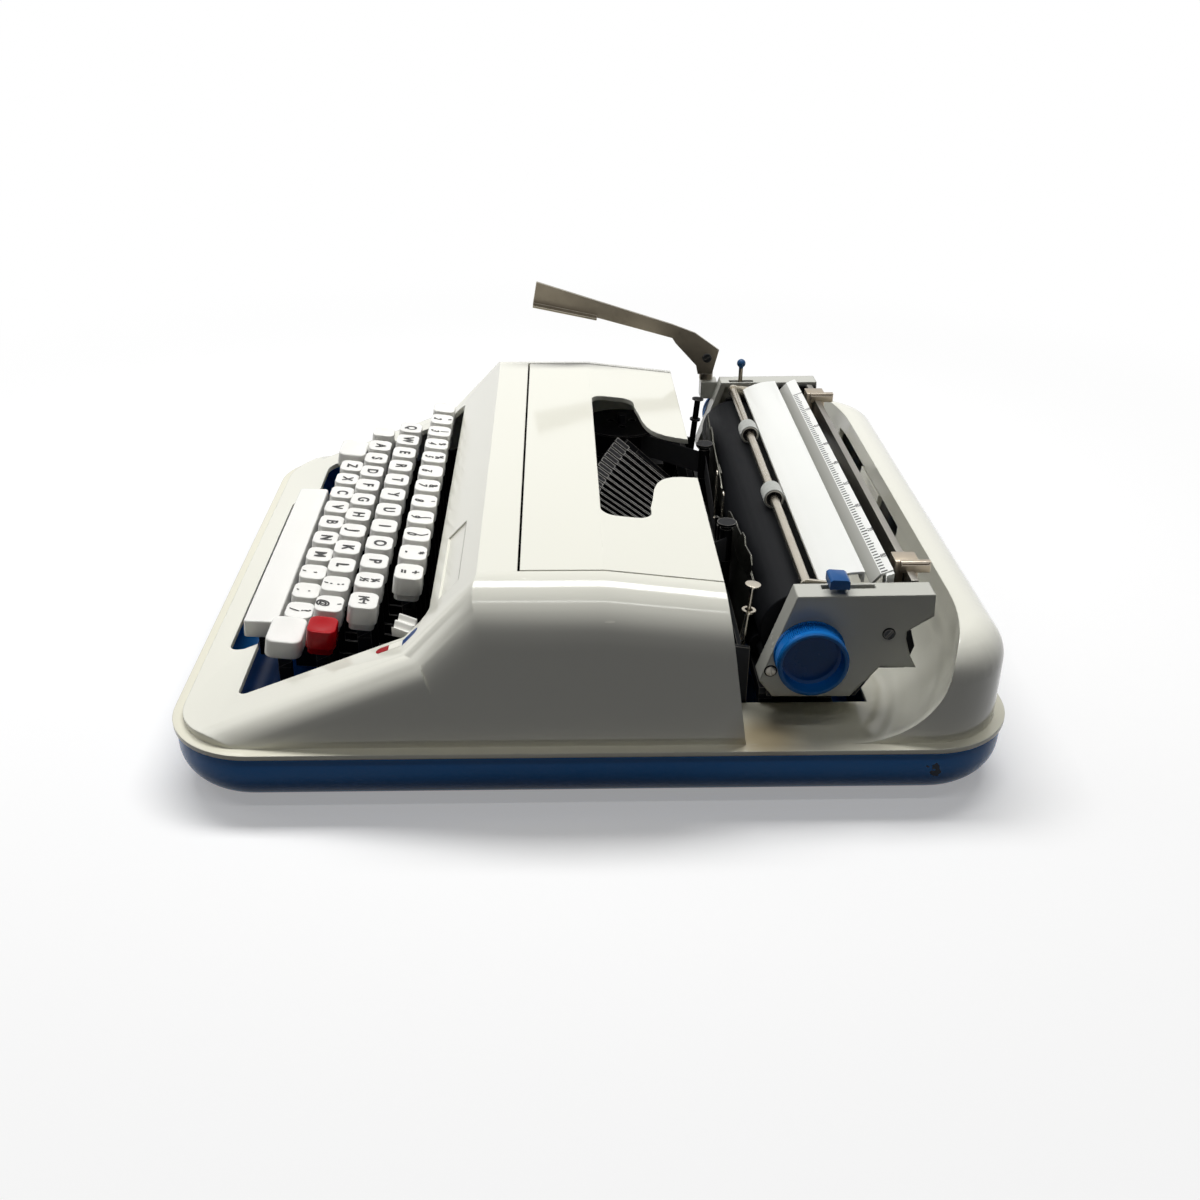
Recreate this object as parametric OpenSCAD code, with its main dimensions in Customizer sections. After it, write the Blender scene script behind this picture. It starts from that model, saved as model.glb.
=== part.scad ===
// Portable manual typewriter: moulded case, four rows of keys, type basket and moving carriage.
// +X is the typist's right, +Y the back, +Z up. The origin is on the table, below the case's middle.

/* [Case] */
// Width of the case over its rim
case_w = 324; // [318:1:332]
// Depth of the case over its rim
case_d = 353; // [350:1:358]
// Plan radius of the rim's corners
case_r = 38; // [32:1:42]
// Width of the rim outside the walls
rim_w = 5; // [3:0.5:6]
// Height of the rim's underside above the table
rim_z = 26.8; // [26:0.2:28]
// Thickness of the rim and of the carriage shelf
rim_t = 2; // [1.6:0.2:2.4]
// Wall of the moulded case
wall = 2.5; // [2:0.1:3]
// Height of the rubber feet
foot_h = 2.5; // [2:0.1:3]
// Radius of the rubber feet
foot_r = 9; // [7:0.5:12]
// Rounding along the bottom edge of the base
base_r = 16; // [12:1:20]
// How far the base stands in from the rim's edge
base_step = 1.2; // [0.8:0.2:2]

/* [Key deck] */
// Height of the deck 147 mm in front of the middle
deck_z = 36.5; // [35:0.5:38]
// Slope of the deck
deck_slope = 21.5; // [20:0.5:23]
// Rounding of the deck's side edges
deck_r = 12; // [8:1:16]
// Slope of the front lip
lip_slope = 8; // [5:0.5:10]
// Height of the front lip at its front edge
lip_z = 30.8; // [30:0.2:32]
// Half width of the key well
well_w = 128; // [126:0.5:130]
// Front edge of the key well
well_front = -149; // [-151:0.5:-147]
// Rear edge of the key well, in the hood's face
well_back = -67; // [-69:0.5:-65]
// Half width of the notch for the space bar
notch_w = 83.5; // [80:0.5:88]
// Front edge of the notch for the space bar
notch_front = -162.5; // [-164:0.5:-161]

/* [Hood] */
// Height of the hood's flat top
hood_z = 96.7; // [96:0.1:98]
// Front edge of the hood's top
hood_front = -46.5; // [-48:0.5:-45]
// Slope of the hood's front face
face_slope = 46.6; // [44:0.2:48]
// Rounding along the hood's sides
hood_r = 23; // [18:1:26]
// Where the hood's top starts to fall to the back
fall_y = 4; // [0:1:10]
// Fall of the hood's top towards the carriage
fall_slope = 6.5; // [5:0.5:8]
// Rear edge of the hood at its top
hood_back = 52; // [50:0.5:53]
// Lean of the hood's rear edge
back_lean = 8.7; // [7:0.1:9]
// Length of the recess on the hood's face
plate_l = 58; // [40:1:60]
// Height of the recess on the hood's face
plate_h = 12; // [8:0.5:14]
// Depth of the recess on the hood's face
plate_deep = 0.8; // [0.4:0.1:1.2]

/* [Ribbon cover] */
// Width of the case left beside the ribbon cover
cover_margin = 29; // [28:0.5:33]
// Front seam of the ribbon cover
cover_front = -29.5; // [-31:0.5:-26]
// Seam between cover and case
seam = 1; // [0.8:0.1:1.4]
// Radius of the cover's hinge pins
hinge_r = 0.8; // [0.6:0.1:0.9]
// Half width of the type window
window_w = 79; // [76:1:82]
// Front edge of the type window
window_front = 4.5; // [3:0.5:6]
// Rear edge of the window's wings
window_back = 27; // [25:0.5:29]
// Half width of the window's neck
neck_w = 25; // [23:0.5:27]

/* [Rear wall] */
// Height of the rear wall
back_z = 71.5; // [70:0.5:73]
// Rounding of the rear wall's ends
back_r = 16; // [12:1:18]
// Radius of the scoop behind the carriage
scoop_r = 33.2; // [31:0.2:35]
// Inner face of the rear wall
scoop_back = 153; // [151:0.5:155]
// Where the inner face starts to bend forwards
bend_x = 105; // [95:1:110]
// Plan radius of that bend
bend_r = 130; // [120:1:140]
// Left and right ends of the slot in the rear wall, and of the tongue that stands in it
slot_x = [-122, 17]; // [-130:1:30]
// Left and right ends of the tongue in the slot
tongue_x = [-66, -25]; // [-70:1:-20]
// Height of the slot in the rear wall
slot_h = 10; // [8:0.5:12]
// Half width of the open shelf under the carriage
shelf_w = 125.2; // [125:0.1:126]

/* [Keys] */
// Distance between keys in a row
key_pitch = 19.05; // [18.9:0.05:19.2]
// Width of a key cap at its foot
cap_w = 15.4; // [15:0.1:16]
// Depth of a key cap at its foot
cap_d = 13; // [12.4:0.1:13.2]
// Height of a key cap above its collar
cap_h = 8.4; // [7.6:0.1:8.6]
// Height of the collar under a key cap
collar_h = 3; // [2:0.1:3.4]
// How much a cap narrows to its top on each side
cap_draft = 0.9; // [0.6:0.1:1.2]
// Rounding of a cap's upright edges
cap_r = 2.6; // [2:0.2:3]
// Radius of the dish in a cap's top
dish_r = 26; // [24:1:40]
// Thickness of a key lever
lever_t = 1.2; // [1:0.05:1.2]
// Depth of a key lever
lever_h = 4.5; // [4:0.1:4.6]
// Radius of the rod that the key levers turn on
fulcrum_r = 2.5; // [2:0.1:3]
// Length of the space bar
space_l = 154; // [150:1:156]
// Depth of the space bar
space_d = 16.5; // [15:0.5:17]
// Depth of the shift keys
shift_d = 16.5; // [15:0.5:17]

/* [Carriage] */
// Height of the platen's axis
platen_z = 61.6; // [61:0.1:62.2]
// Place of the platen's axis behind the middle
platen_y = 87.85; // [87.5:0.05:88.5]
// Radius of the platen
platen_r = 17.5; // [17:0.1:18]
// Half length of the platen
platen_l = 120; // [118:0.5:120.5]
// Radius of the platen shaft
shaft_r = 3; // [2.5:0.1:3.5]
// Radius of the platen knobs
knob_r = 14.1; // [13:0.1:14.4]
// Width of the platen knobs
knob_w = 10.8; // [9:0.1:12]
// Depth of the dish in a platen knob
knob_dish = 7; // [5:0.5:7.5]
// Outer faces of the end plates from the middle
plate_x = 139; // [138:0.5:141]
// Depth of an end plate
plate_t = 11.5; // [11:0.5:12]
// Thickness of the carriage's steel cheeks
cheek_t = 2; // [1.6:0.1:2.2]
// Radius of the bail rod
bail_r = 1.85; // [1.6:0.05:2]
// Radius of the bail rollers
roller_r = 4.7; // [4.4:0.1:5]
// Width of the bail rollers
roller_w = 11; // [9:0.5:13]
// Radius of the feed rollers
feed_r = 5; // [4.5:0.1:5]
// Thickness of the margin rail
rail_t = 3.2; // [2.6:0.1:3.6]
// Height of the margin rail
rail_h = 9; // [8:0.5:10]

/* [Type basket] */
// Radius of the arc that the type bars turn on
basket_r = 50; // [49:0.5:50.5]
// Lean of the type basket's arc
basket_tilt = 42; // [41:0.5:43]
// Swing of a type bar from its rest to the platen
bar_swing = 100; // [98:1:102]
// Number of type bars
bar_count = 43; // [37:2:43]
// Half of the angle that the type bars fill
bar_fan = 70; // [64:1:70]
// Height of the printing point above the ears that carry the segment
ear_drop = 13.8; // [13:0.2:18]
// Thickness of a type bar
bar_t = 1; // [0.8:0.1:1.2]

/* [Fits] */
// Running clearance of a shaft in its bore
run_gap = 0.05; // [0.03:0.01:0.08]
// Clearance between pieces that slide or pass
pass_gap = 0.3; // [0.2:0.05:0.4]

/* [Hidden] */
$fn = 64;
big = 400;

// Case walls, rim and shelf
wall_w = case_w - 2 * rim_w;
wall_d = case_d - 2 * rim_w + 1;
wall_r = case_r - rim_w;
rim_top = rim_z + rim_t;
base_floor = foot_h + wall;
deck_y = -147;
lip_y = -wall_d / 2;
face_drop = 150;
scoop_y = scoop_back - scoop_r;
scoop_z = rim_top + scoop_r;
bend_y = scoop_back - bend_r;
bend_step = 0.05;
core_y = scoop_y + 14;
cover_w = case_w / 2 - cover_margin;
ear_low = max(ear_drop, basket_r * cos(bar_fan + 4));
ear_x = sqrt(basket_r * basket_r - ear_low * ear_low);
slot_top = scoop_z - 0.5;
cover_t = wall;
hinge_y = cover_front + 2;
hinge_z = hood_z - 1.7;
plate_x0 = 66;

// Key rows: place of the cap's top, first key and number of keys
row_y = [-79.45, -97.85, -115.15, -130.75];
row_z = [74.9, 67.2, 58.6, 49.8];
row_x = [-118, -106.3, -100.8, -92.4];
row_n = [12, 12, 11, 10];
key_tilt = -7;
solo_key = 5;
lock_x = row_x[2] - key_pitch;
tab_x = row_x[2] + 11 * key_pitch;
shift_x = [-114, 101];
shift_lever_x = [-113, 106.5];
shift_w = 24;
shift_y = row_y[3] - 1.5;
shift_z = row_z[3] + 2.4;
space_y = -149;
space_z = 43.4;
space_lever_x = [-64.6, 68.7];
selector_x = 120.6;
selector_y = -78;
selector_z = 34;
fulcrum_y = 60;
fulcrum_z = 34;
lever_low = 8.3;
lever_front = 22;

// Frame inside the case
frame_x = 122;
frame_t = 2;
bar_y = 63.5;
bar_z = 46.5;
bar_h = 8;
rail_top = 33;
rail_y = [75, 101];
rail_w = 6;
rail_l = 119;

// Carriage
cheek_x = plate_x - plate_t - 0.5;
bed_z = rail_top + pass_gap;
bed_t = 3;
inner_x = cheek_x - cheek_t - pass_gap;
bail_y = platen_y - 0.25;
bail_z = platen_z + platen_r + roller_r + pass_gap;
bail_pivot = [116, 80];
bail_arm_x = inner_x - 2;
table_l = bail_arm_x - pass_gap;
stop_rail_y = 130.2;
stop_rail_z = 78;
stop_x = [-103, 110];
bail_roller_x = [-56, 29];
shaft_l = plate_x + knob_w - knob_dish - 1.2;
feed_dy = 13.1;
feed_z = platen_z - sqrt(pow(platen_r + feed_r + pass_gap, 2) - pow(feed_dy, 2));
lever_post = [-144.5, 74];
lever_hub_z = 84;

// Type basket: the printing point stands just in front of the platen
print_y = platen_y - platen_r - 3.4;
print_z = 62;
slug_l = 8;
slot_t = bar_t + 0.4;

// 2D shapes
module rounded(w, d, r) {
    square([w - 2 * r, d], center = true);
    square([w, d - 2 * r], center = true);
    for (sx = [-1, 1], sy = [-1, 1])
        translate([sx * (w / 2 - r), sy * (d / 2 - r)]) circle(r);
}

module between(x0, x1, y0, y1, r) {
    translate([(x0 + x1) / 2, (y0 + y1) / 2]) rounded(x1 - x0, y1 - y0, r);
}

// An arch with its crown at zero and both upper corners round
module arch(w, deep, r) {
    translate([-w / 2, -deep]) square([w, deep - r]);
    translate([r - w / 2, -deep]) square([w - 2 * r, deep]);
    for (s = [-1, 1]) translate([s * (w / 2 - r), -r]) circle(r);
}

// Box with round corners in plan and a round top edge
module soft_box(w, d, h, r, edge) {
    linear_extrude(h - edge) rounded(w, d, r);
    translate([0, d / 2 - r, h]) rotate([90, 0, 0]) linear_extrude(d - 2 * r) arch(w, h, edge);
    translate([r - w / 2, 0, h]) rotate([90, 0, 90]) linear_extrude(w - 2 * r) arch(d, h, edge);
    for (i = [0:3]) translate([(i % 3 == 0 ? 1 : -1) * (w / 2 - r), (i < 2 ? 1 : -1) * (d / 2 - r), 0])
        rotate([0, 0, 90 * i]) rotate_extrude(angle = 90) {
            square([r, h - edge]);
            square([r - edge, h]);
            intersection() {
                translate([r - edge, h - edge]) circle(edge);
                square([r, h]);
            }
        }
}

// A side view, drawn in Y and Z, from one X to another
module side(x0, x1) {
    translate([x0, 0, 0]) rotate([90, 0, 90]) linear_extrude(x1 - x0) children();
}

module rod_x(x0, x1, y, z, r) {
    translate([x0, y, z]) rotate([0, 90, 0]) cylinder(h = x1 - x0, r = r);
}

// A long block under a sloping top, with round upper corners
module slope_block(y, z, slope, r, inset, front, back) {
    translate([0, y, z]) rotate([slope, 0, 0]) translate([0, back, -inset]) rotate([90, 0, 0])
        linear_extrude(front + back) arch(wall_w - 2 * inset, face_drop, r - inset);
}

// The case in front of the carriage: lip, key deck and hood
module front_form(inset, extra) {
    intersection() {
        translate([0, 0, rim_z - inset]) linear_extrude(hood_z)
            rounded(wall_w - 2 * inset, wall_d - 2 * inset, wall_r - inset);
        side(-big, big) polygon([[-big, 0],
            [hood_back + extra + tan(back_lean) * (hood_z - 5), 0],
            [hood_back + extra - tan(back_lean) * 25, hood_z + 20], [-big, hood_z + 20]]);
        union() {
            slope_block(lip_y, lip_z, lip_slope, 8, inset, 30, 200);
            slope_block(deck_y, deck_z, deck_slope, deck_r, inset, 60, 83);
            intersection() {
                slope_block(0, hood_z, 0, hood_r, inset, 160, 90);
                slope_block(hood_front, hood_z, face_slope, 18, inset, 140, 150);
                slope_block(fall_y, hood_z, -fall_slope, hood_r, inset, 200, 90);
            }
        }
    }
}

// Half section of the scoop that the carriage passes through
module scoop_section(grow, from) {
    translate([from, rim_top - grow]) square([scoop_y - from, 120]);
    translate([scoop_y, scoop_z]) circle(scoop_r + grow);
    translate([from, scoop_z]) square([scoop_back + grow - from, 120]);
}

module scoop_middle(grow) {
    side(-bend_x, bend_x) scoop_section(grow, 40);
}

// The scoop's ends turn forwards round an upright axis, a hair in front of its middle
module scoop_ends(grow) {
    for (m = [0, 1]) mirror([m, 0, 0]) translate([bend_x, bend_y, 0]) rotate([0, 0, 10])
        rotate_extrude(angle = 90) translate([-bend_y, 0]) scoop_section(grow - bend_step, 40);
}

// The case behind the hood: shelf and rear wall
module back_form(inset) {
    intersection() {
        translate([0, 0, rim_z - inset])
            soft_box(wall_w - 2 * inset, wall_d - 2 * inset, back_z - rim_z, wall_r - inset, back_r - inset);
        translate([-big, hood_back + 3, 0]) cube(2 * big);
    }
}

// The hollow inside the rear wall, open below
module back_core() {
    difference() {
        intersection() {
            back_form(wall);
            translate([-big, core_y, -1]) cube([2 * big, big, big]);
        }
        scoop_middle(wall);
        scoop_ends(wall);
    }
}

// A slot through the rear wall's inner face, with a tongue left standing in it
module back_slot() {
    translate([slot_x[0], scoop_back - 8, slot_top - slot_h]) difference() {
        cube([slot_x[1] - slot_x[0], 14, slot_h]);
        translate([tongue_x[0] - slot_x[0], -1, -1]) cube([tongue_x[1] - tongue_x[0], 16, slot_h - 0.5]);
    }
}

module well_cut() {
    linear_extrude(big) {
        between(-well_w, well_w, well_front, well_back, 5);
        between(-notch_w, notch_w, notch_front, well_front + 20, 5);
    }
}

module rim() {
    translate([0, 0, rim_z]) linear_extrude(rim_t) difference() {
        rounded(case_w, case_d, case_r);
        rounded(wall_w - 2, wall_d - 2, wall_r - 1);
    }
}

module body_shell() {
    color("#dcdad0") {
        difference() {
            front_form(0, 0);
            front_form(wall, 20);
            translate([0, 0, rim_z]) well_cut();
            translate([-cover_w - seam, cover_front - seam, hood_z - 30])
                cube([2 * (cover_w + seam), 200, 60]);
            for (s = [-1, 1]) translate([s * (cover_w + seam + 2), hinge_y, hinge_z]) rotate([0, 90, 0])
                cylinder(h = 7, r = hinge_r + run_gap, center = true);
            translate([plate_x0, hood_front, hood_z]) rotate([face_slope, 0, 0])
                translate([0, -plate_h - 12, -plate_deep]) cube([plate_l, plate_h, 5]);
        }
        difference() {
            back_form(0);
            scoop_middle(0);
            scoop_ends(0);
            back_core();
            translate([-shelf_w, 40, 0]) cube([2 * shelf_w, scoop_y - 42, rim_top + 5]);
            back_slot();
        }
        rim();
        for (s = [-1, 1]) translate([s * (cover_w + seam + 3), hinge_y, hinge_z - 0.5]) difference() {
            translate([-2.5, -3, -3.5]) cube([5, 6, 3.5 + hinge_r]);
            translate([0, 0, 0.5]) rotate([0, 90, 0])
                cylinder(h = 9, r = hinge_r + run_gap, center = true);
        }
    }
}

module base_form(inset) {
    edge = 2 * (base_step + inset);
    translate([0, 0, rim_z + inset]) mirror([0, 0, 1])
        soft_box(case_w - edge, case_d - edge, rim_z - foot_h, case_r - edge / 2, base_r - inset);
}

module base_tray() {
    color("#2f4f78") difference() {
        intersection() {
            base_form(0);
            cube([big * 2, big * 2, 2 * rim_z], center = true);
        }
        base_form(wall);
        for (x = [-1, 1], y = [-1, 1]) translate([x * 105, y * 120, 0])
            cylinder(h = 30, r = 2 + run_gap);
    }
}

module rubber_feet() {
    color("#2a2a2a") for (x = [-1, 1], y = [-1, 1]) translate([x * 120, y * 132, 0])
        rotate_extrude() polygon([[0, 0], [foot_r - 1.5, 0], [foot_r, foot_h], [0, foot_h]]);
}

module case_screws() {
    color("#b8b8b4") for (x = [-1, 1], y = [-1, 1]) translate([x * 105, y * 120, 0]) {
        translate([0, 0, foot_h - 1]) cylinder(h = 1, r = 4);
        translate([0, 0, foot_h - 1]) cylinder(h = wall + 4, r = 2);
    }
}

// Steel frame
module side_frames() {
    color("#55565a") for (s = [-1, 1]) difference() {
        side(s > 0 ? frame_x : -frame_x - frame_t, s > 0 ? frame_x + frame_t : -frame_x)
            polygon([[-100, base_floor], [112, base_floor], [112, 26], [66, 26], [66, 55], [20, 62],
                [-40, 60], [-100, 40]]);
        rod_x(-big, big, fulcrum_y, fulcrum_z, fulcrum_r + run_gap);
    }
}

module cross_bar() {
    color("#4a4b4f") translate([-frame_x, bar_y, bar_z - bar_h]) cube([2 * frame_x, 2, bar_h]);
}

module fulcrum_rod() {
    color("#a8a8a6") rod_x(-frame_x - frame_t - 1, frame_x + frame_t + 1, fulcrum_y, fulcrum_z, fulcrum_r);
}

module carriage_rails() {
    color("#8d8e90") {
        for (y = rail_y) translate([-rail_l, y - rail_w / 2, rail_top - rail_w])
            cube([2 * rail_l, rail_w, rail_w]);
        for (s = [-1, 1]) translate([s * (frame_x - 4), 0, 0])
            translate([-4, rail_y[0] - 3, 20]) cube([8, rail_y[1] - rail_y[0] + 6, rail_top - rail_w - 20]);
    }
}

// Type basket
module basket() {
    translate([0, print_y, print_z]) rotate([-basket_tilt, 0, 0]) children();
}

// A sector of a ring about the basket's axis, open upwards
module basket_ring(r0, r1, y0, y1, half) {
    rotate([90, 0, 0]) rotate([0, 0, -90 - half]) rotate_extrude(angle = 2 * half)
        translate([r0, -y1]) square([r1 - r0, y1 - y0]);
}

module at_bar(a) {
    rotate([0, -a, 0]) translate([0, 0, -basket_r]) children();
}

module bar_shape() {
    translate([-bar_t / 2, -2, 0]) cube([bar_t, 4, basket_r - slug_l + 1]);
    rotate([0, 90, 0]) cylinder(h = bar_t, r = 2, center = true);
    translate([-1.15, -1.5, basket_r - slug_l]) cube([2.3, 5, slug_l]);
}

function bar_angle(i) = -bar_fan + 2 * bar_fan * i / (bar_count - 1);

module type_bars() {
    color("#3a3a3c") basket() for (i = [0 : bar_count - 1]) if (i != (bar_count - 1) / 2)
        at_bar(bar_angle(i)) rotate([bar_swing, 0, 0]) bar_shape();
}

module type_bar_n() {
    color("#3a3a3c") basket() at_bar(0) rotate([bar_swing, 0, 0]) bar_shape();
}

module type_segment() {
    color("#2c2c2e") {
        basket() difference() {
            basket_ring(basket_r - 5, basket_r + 5.5, -4, 1, bar_fan + 4);
            for (i = [0 : bar_count - 1]) at_bar(bar_angle(i))
                translate([-slot_t / 2, -10, -3.4]) cube([slot_t, 20, 12]);
        }
        for (s = [-1, 1]) basket() translate([s > 0 ? ear_x : pass_gap - frame_x, -4, -ear_low - 3])
            cube([frame_x - pass_gap - ear_x, 5, 6]);
    }
}

module type_rest() {
    reach = 40 * sin(bar_swing);
    r = basket_r - 40 * cos(bar_swing) + 2 + 4 * pass_gap;
    color("#232325") basket() {
        basket_ring(r, r + 3, -reach - 4, -reach + 4, bar_fan + 4);
        for (s = [-1, 1]) rotate([0, -s * (bar_fan + 3), 0]) translate([-1, -reach, -r - 2.5]) {
            cube([2, reach - 4, 2]);
            translate([0, reach - 6, 0]) cube([2, 2, r - basket_r]);
        }
    }
}

module type_guide() {
    color("#77787a") {
        for (s = [-1, 1]) translate([s * 5 - 1, bar_y + 2, bar_z - bar_h]) cube([2, 1.5, 19]);
        translate([-6, bar_y + 2, bar_z - bar_h]) cube([12, 1.5, 6]);
    }
}

module ribbon_vibrator() {
    color("#8f8f8d") translate([0, bar_y + 3.5 + pass_gap, bar_z - bar_h]) {
        for (s = [-1, 1]) translate([s * 8 - 1.5, 0, 0]) cube([3, 0.8, 17]);
        translate([-9.5, 0, 0]) cube([19, 0.8, 4]);
    }
}

module ribbon_posts() {
    color("#1e1e20") for (s = [-1, 1]) translate([s * 50, bar_y + 0.2, bar_z]) {
        cylinder(h = 33, r = 2.6);
        translate([0, 0, 14]) cylinder(h = 16, r = 2.9);
        translate([0, 0, 32]) cylinder(h = 1.2, r = 4.4);
    }
}

module ribbon_pins() {
    color("#c9c8c4") for (s = [-1, 1]) translate([s * 116.5, bar_y + 1, bar_z]) {
        cylinder(h = 33.5, r = 1.4);
        translate([0, 0, 11.5]) cylinder(h = 1.2, r = 4.2);
        translate([0, 0, 33.5]) rotate_extrude() intersection() {
            translate([0, -9.2]) circle(11);
            square([5.5, 3]);
        }
    }
}

module card_plates() {
    color("#8b8a84") for (s = [-1, 1]) {
        translate([s > 0 ? 30 : -95, bar_y + 2, bar_z - 6]) rotate([-9, 0, 0]) difference() {
            cube([65, 0.8, 31]);
            translate([s > 0 ? 12 : 38, -1, 23]) cube([15, 3, 9]);
        }
    }
}

// Ribbon spools
module spool_brackets() {
    color("#4a4b4f") for (s = [-1, 1]) translate([s > 0 ? 70 : -frame_x, 0, 58]) {
        cube([frame_x - 70, 44, 2]);
        translate([s > 0 ? 25 : frame_x - 95, 22, 2]) cylinder(h = 20, r = 2.5);
    }
}

module spool() {
    difference() {
        union() {
            translate([0, 0, 60 + pass_gap]) cylinder(h = 1, r = 22);
            translate([0, 0, 61]) cylinder(h = 13, r = 17);
            translate([0, 0, 74]) cylinder(h = 1, r = 22);
        }
        translate([0, 0, 50]) cylinder(h = 40, r = 2.5 + run_gap);
        for (a = [0, 120, 240]) rotate(a) translate([7, 0, 50]) cylinder(h = 40, r = 2);
    }
}

module spool_left() { color("#b9b9b5") translate([-95, 22, 0]) spool(); }
module spool_right() { color("#b9b9b5") translate([95, 22, 0]) spool(); }

// The ribbon runs from each spool round its post and down through the vibrator
module ribbon() {
    y = bar_y + 3.55;
    color("#151517") {
        for (m = [0, 1]) mirror([m, 0, 0]) {
            intersection() {
                linear_extrude(big)
                    polygon([[12, y], [46.8, bar_y + 0.6], [46.8, bar_y + 0.8], [12, y + 0.2]]);
                translate([0, big, 0]) rotate([90, 0, 0]) linear_extrude(2 * big)
                    polygon([[12, 37.5], [46.8, 61], [46.8, 74], [12, 50.5]]);
            }
            translate([0, 0, 61 + pass_gap]) linear_extrude(12)
                polygon([[53.2, 63.4], [80.6, 32.3], [80.8, 32.5], [53.4, 63.6]]);
        }
        translate([-12, y, 37.5]) cube([24, 0.2, 13]);
    }
}

// Drive
module spring_drum() {
    color("#9a9a98") translate([-60, 88, base_floor + pass_gap]) {
        cylinder(h = 12, r = 20);
        cylinder(h = 14, r = 3);
    }
}

module escape_wheel() {
    color("#b5a573") translate([20, 88, base_floor + pass_gap]) {
        difference() {
            cylinder(h = 3, r = 14);
            for (i = [0 : 23]) rotate(i * 15) translate([14, 0, -1]) rotate(45) cube([2, 2, 6]);
        }
        cylinder(h = 14, r = 3);
    }
}

// Ribbon cover: the hood's top behind the seam, with the type window
module window_cut() {
    linear_extrude(big) {
        between(-window_w, window_w, window_front, window_back, 7);
        between(-neck_w, neck_w, window_front + 5, 90, 5);
        difference() {
            translate([-neck_w - 12, window_back - 1]) square([2 * neck_w + 24, 13]);
            for (s = [-1, 1]) translate([s * (neck_w + 12), window_back + 12]) circle(12);
        }
    }
}

module ribbon_cover() {
    color("#e4e2d8") {
        difference() {
            intersection() {
                front_form(0, 0);
                translate([-cover_w, cover_front, hood_z - 20]) cube([2 * cover_w, 200, 40]);
            }
            front_form(cover_t, 20);
            window_cut();
        }
        for (s = [-1, 1]) rod_x(s > 0 ? cover_w - 2 : -cover_w - seam - 4,
            s > 0 ? cover_w + seam + 4 : -cover_w + 2, hinge_y, hinge_z, hinge_r);
    }
}

// Carriage
module carriage_bed() {
    color("#6a6b6e") {
        translate([-cheek_x + cheek_t, rail_y[0] - 4, bed_z]) cube([2 * (cheek_x - cheek_t), 40, bed_t]);
        for (s = [-1, 1]) difference() {
            side(s > 0 ? cheek_x - cheek_t : -cheek_x, s > 0 ? cheek_x : cheek_t - cheek_x)
                polygon([[74, bed_z], [112, bed_z], [128, 60], [136, 76], [136, 86], [110, 86], [84, 78],
                    [74, 50]]);
            rod_x(-big, big, platen_y, platen_z, shaft_r + run_gap);
            for (d = [-1, 1]) rod_x(-big, big, platen_y + d * feed_dy, feed_z, 2 + run_gap);
            rod_x(-big, big, bail_pivot[0], bail_pivot[1], 2 + run_gap);
        }
    }
}

module plate_outline() {
    polygon([[81.2, 87], [136.6, 87.6], [137.1, 78], [126.8, 70.9], [126.9, 67.7], [129.7, 59.1],
        [132.6, 54], [117.7, 54.5], [106.4, 40.4], [74.1, 40.7], [68.2, 48.2]]);
}

module end_plate() {
    difference() {
        side(plate_x - plate_t, plate_x) plate_outline();
        side(plate_x - plate_t - 1, plate_x - 3) translate([101, 66]) scale(0.88) translate([-101, -66])
            plate_outline();
        rod_x(0, big, platen_y, platen_z, shaft_r + 1);
    }
}

module end_plate_right() {
    color("#c9c8c0") difference() {
        end_plate();
        translate([plate_x - plate_t + 1.5, 92, 80]) cube([3.4, 22, 20]);
    }
}

module end_plate_left() {
    color("#c9c8c0") difference() {
        union() {
            mirror([1, 0, 0]) end_plate();
            translate([lever_post[0] - 4, lever_post[1] - 3.4, 74])
                cube([-plate_x - lever_post[0] + 5, 9.4, 10]);
            translate([lever_post[0], lever_post[1], lever_hub_z]) cylinder(h = 13, r = 2.5);
        }
        translate([-plate_x + plate_t - 4.9, 86, 80]) cube([3.4, 14, 20]);
    }
}

module plate_screws() {
    color("#9d9d99") for (s = [-1, 1], p = [[119.6, 70], [72.6, 52.9]])
        rod_x(s > 0 ? plate_x : -plate_x - 1.2, s > 0 ? plate_x + 1.2 : -plate_x, p[0], p[1], 2.6);
}

module toothed_rack() {
    color("#8d8e90") difference() {
        translate([-110, 106, bed_z + bed_t]) cube([220, 3, 7]);
        for (i = [-54 : 54]) translate([i * 2, 105, bed_z + bed_t + 5.6]) cube([1, 5, 3]);
    }
}

module paper_table() {
    table_r = 31.2;
    color("#e8e8e2") side(-table_l, table_l) {
        translate([110.2, 85]) square([1.2, 4.6]);
        intersection() {
            translate([110.5, 58.7]) difference() {
                circle(table_r);
                circle(table_r - 1.2);
            }
            polygon([[93.2, 78], [93.2, 100], [111.4, 100], [111.4, 78]]);
        }
    }
}

// The scale's sheet rises out of the valley behind the table and bends over to the marks
module paper_scale() {
    color("#dfdfda") {
        side(-table_l, table_l) polygon([[114, 84.2], [118, 88.9], [123, 90.8], [123, 89.5], [118.5, 87.7],
            [115, 83.4]]);
        for (s = [-1, 1]) side(s > 0 ? table_l - 4 : -inner_x, s > 0 ? inner_x : 4 - table_l)
            polygon([[120, 80], [123, 80], [123, 90.2], [120, 89]]);
    }
}

module margin_rail() {
    color("#8a8880") translate([-inner_x, stop_rail_y, stop_rail_z]) cube([2 * inner_x, rail_t, rail_h]);
}

module margin_stop() {
    difference() {
        translate([-6, stop_rail_y - 5, stop_rail_z - 3]) cube([12, rail_t + 12, rail_h + 7]);
        translate([-7, stop_rail_y - pass_gap, stop_rail_z - pass_gap])
            cube([14, rail_t + 2 * pass_gap, rail_h + 2 * pass_gap]);
        translate([-7, stop_rail_y + rail_t + 4, stop_rail_z - 4]) cube([14, 5, rail_h + 4]);
    }
}

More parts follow.
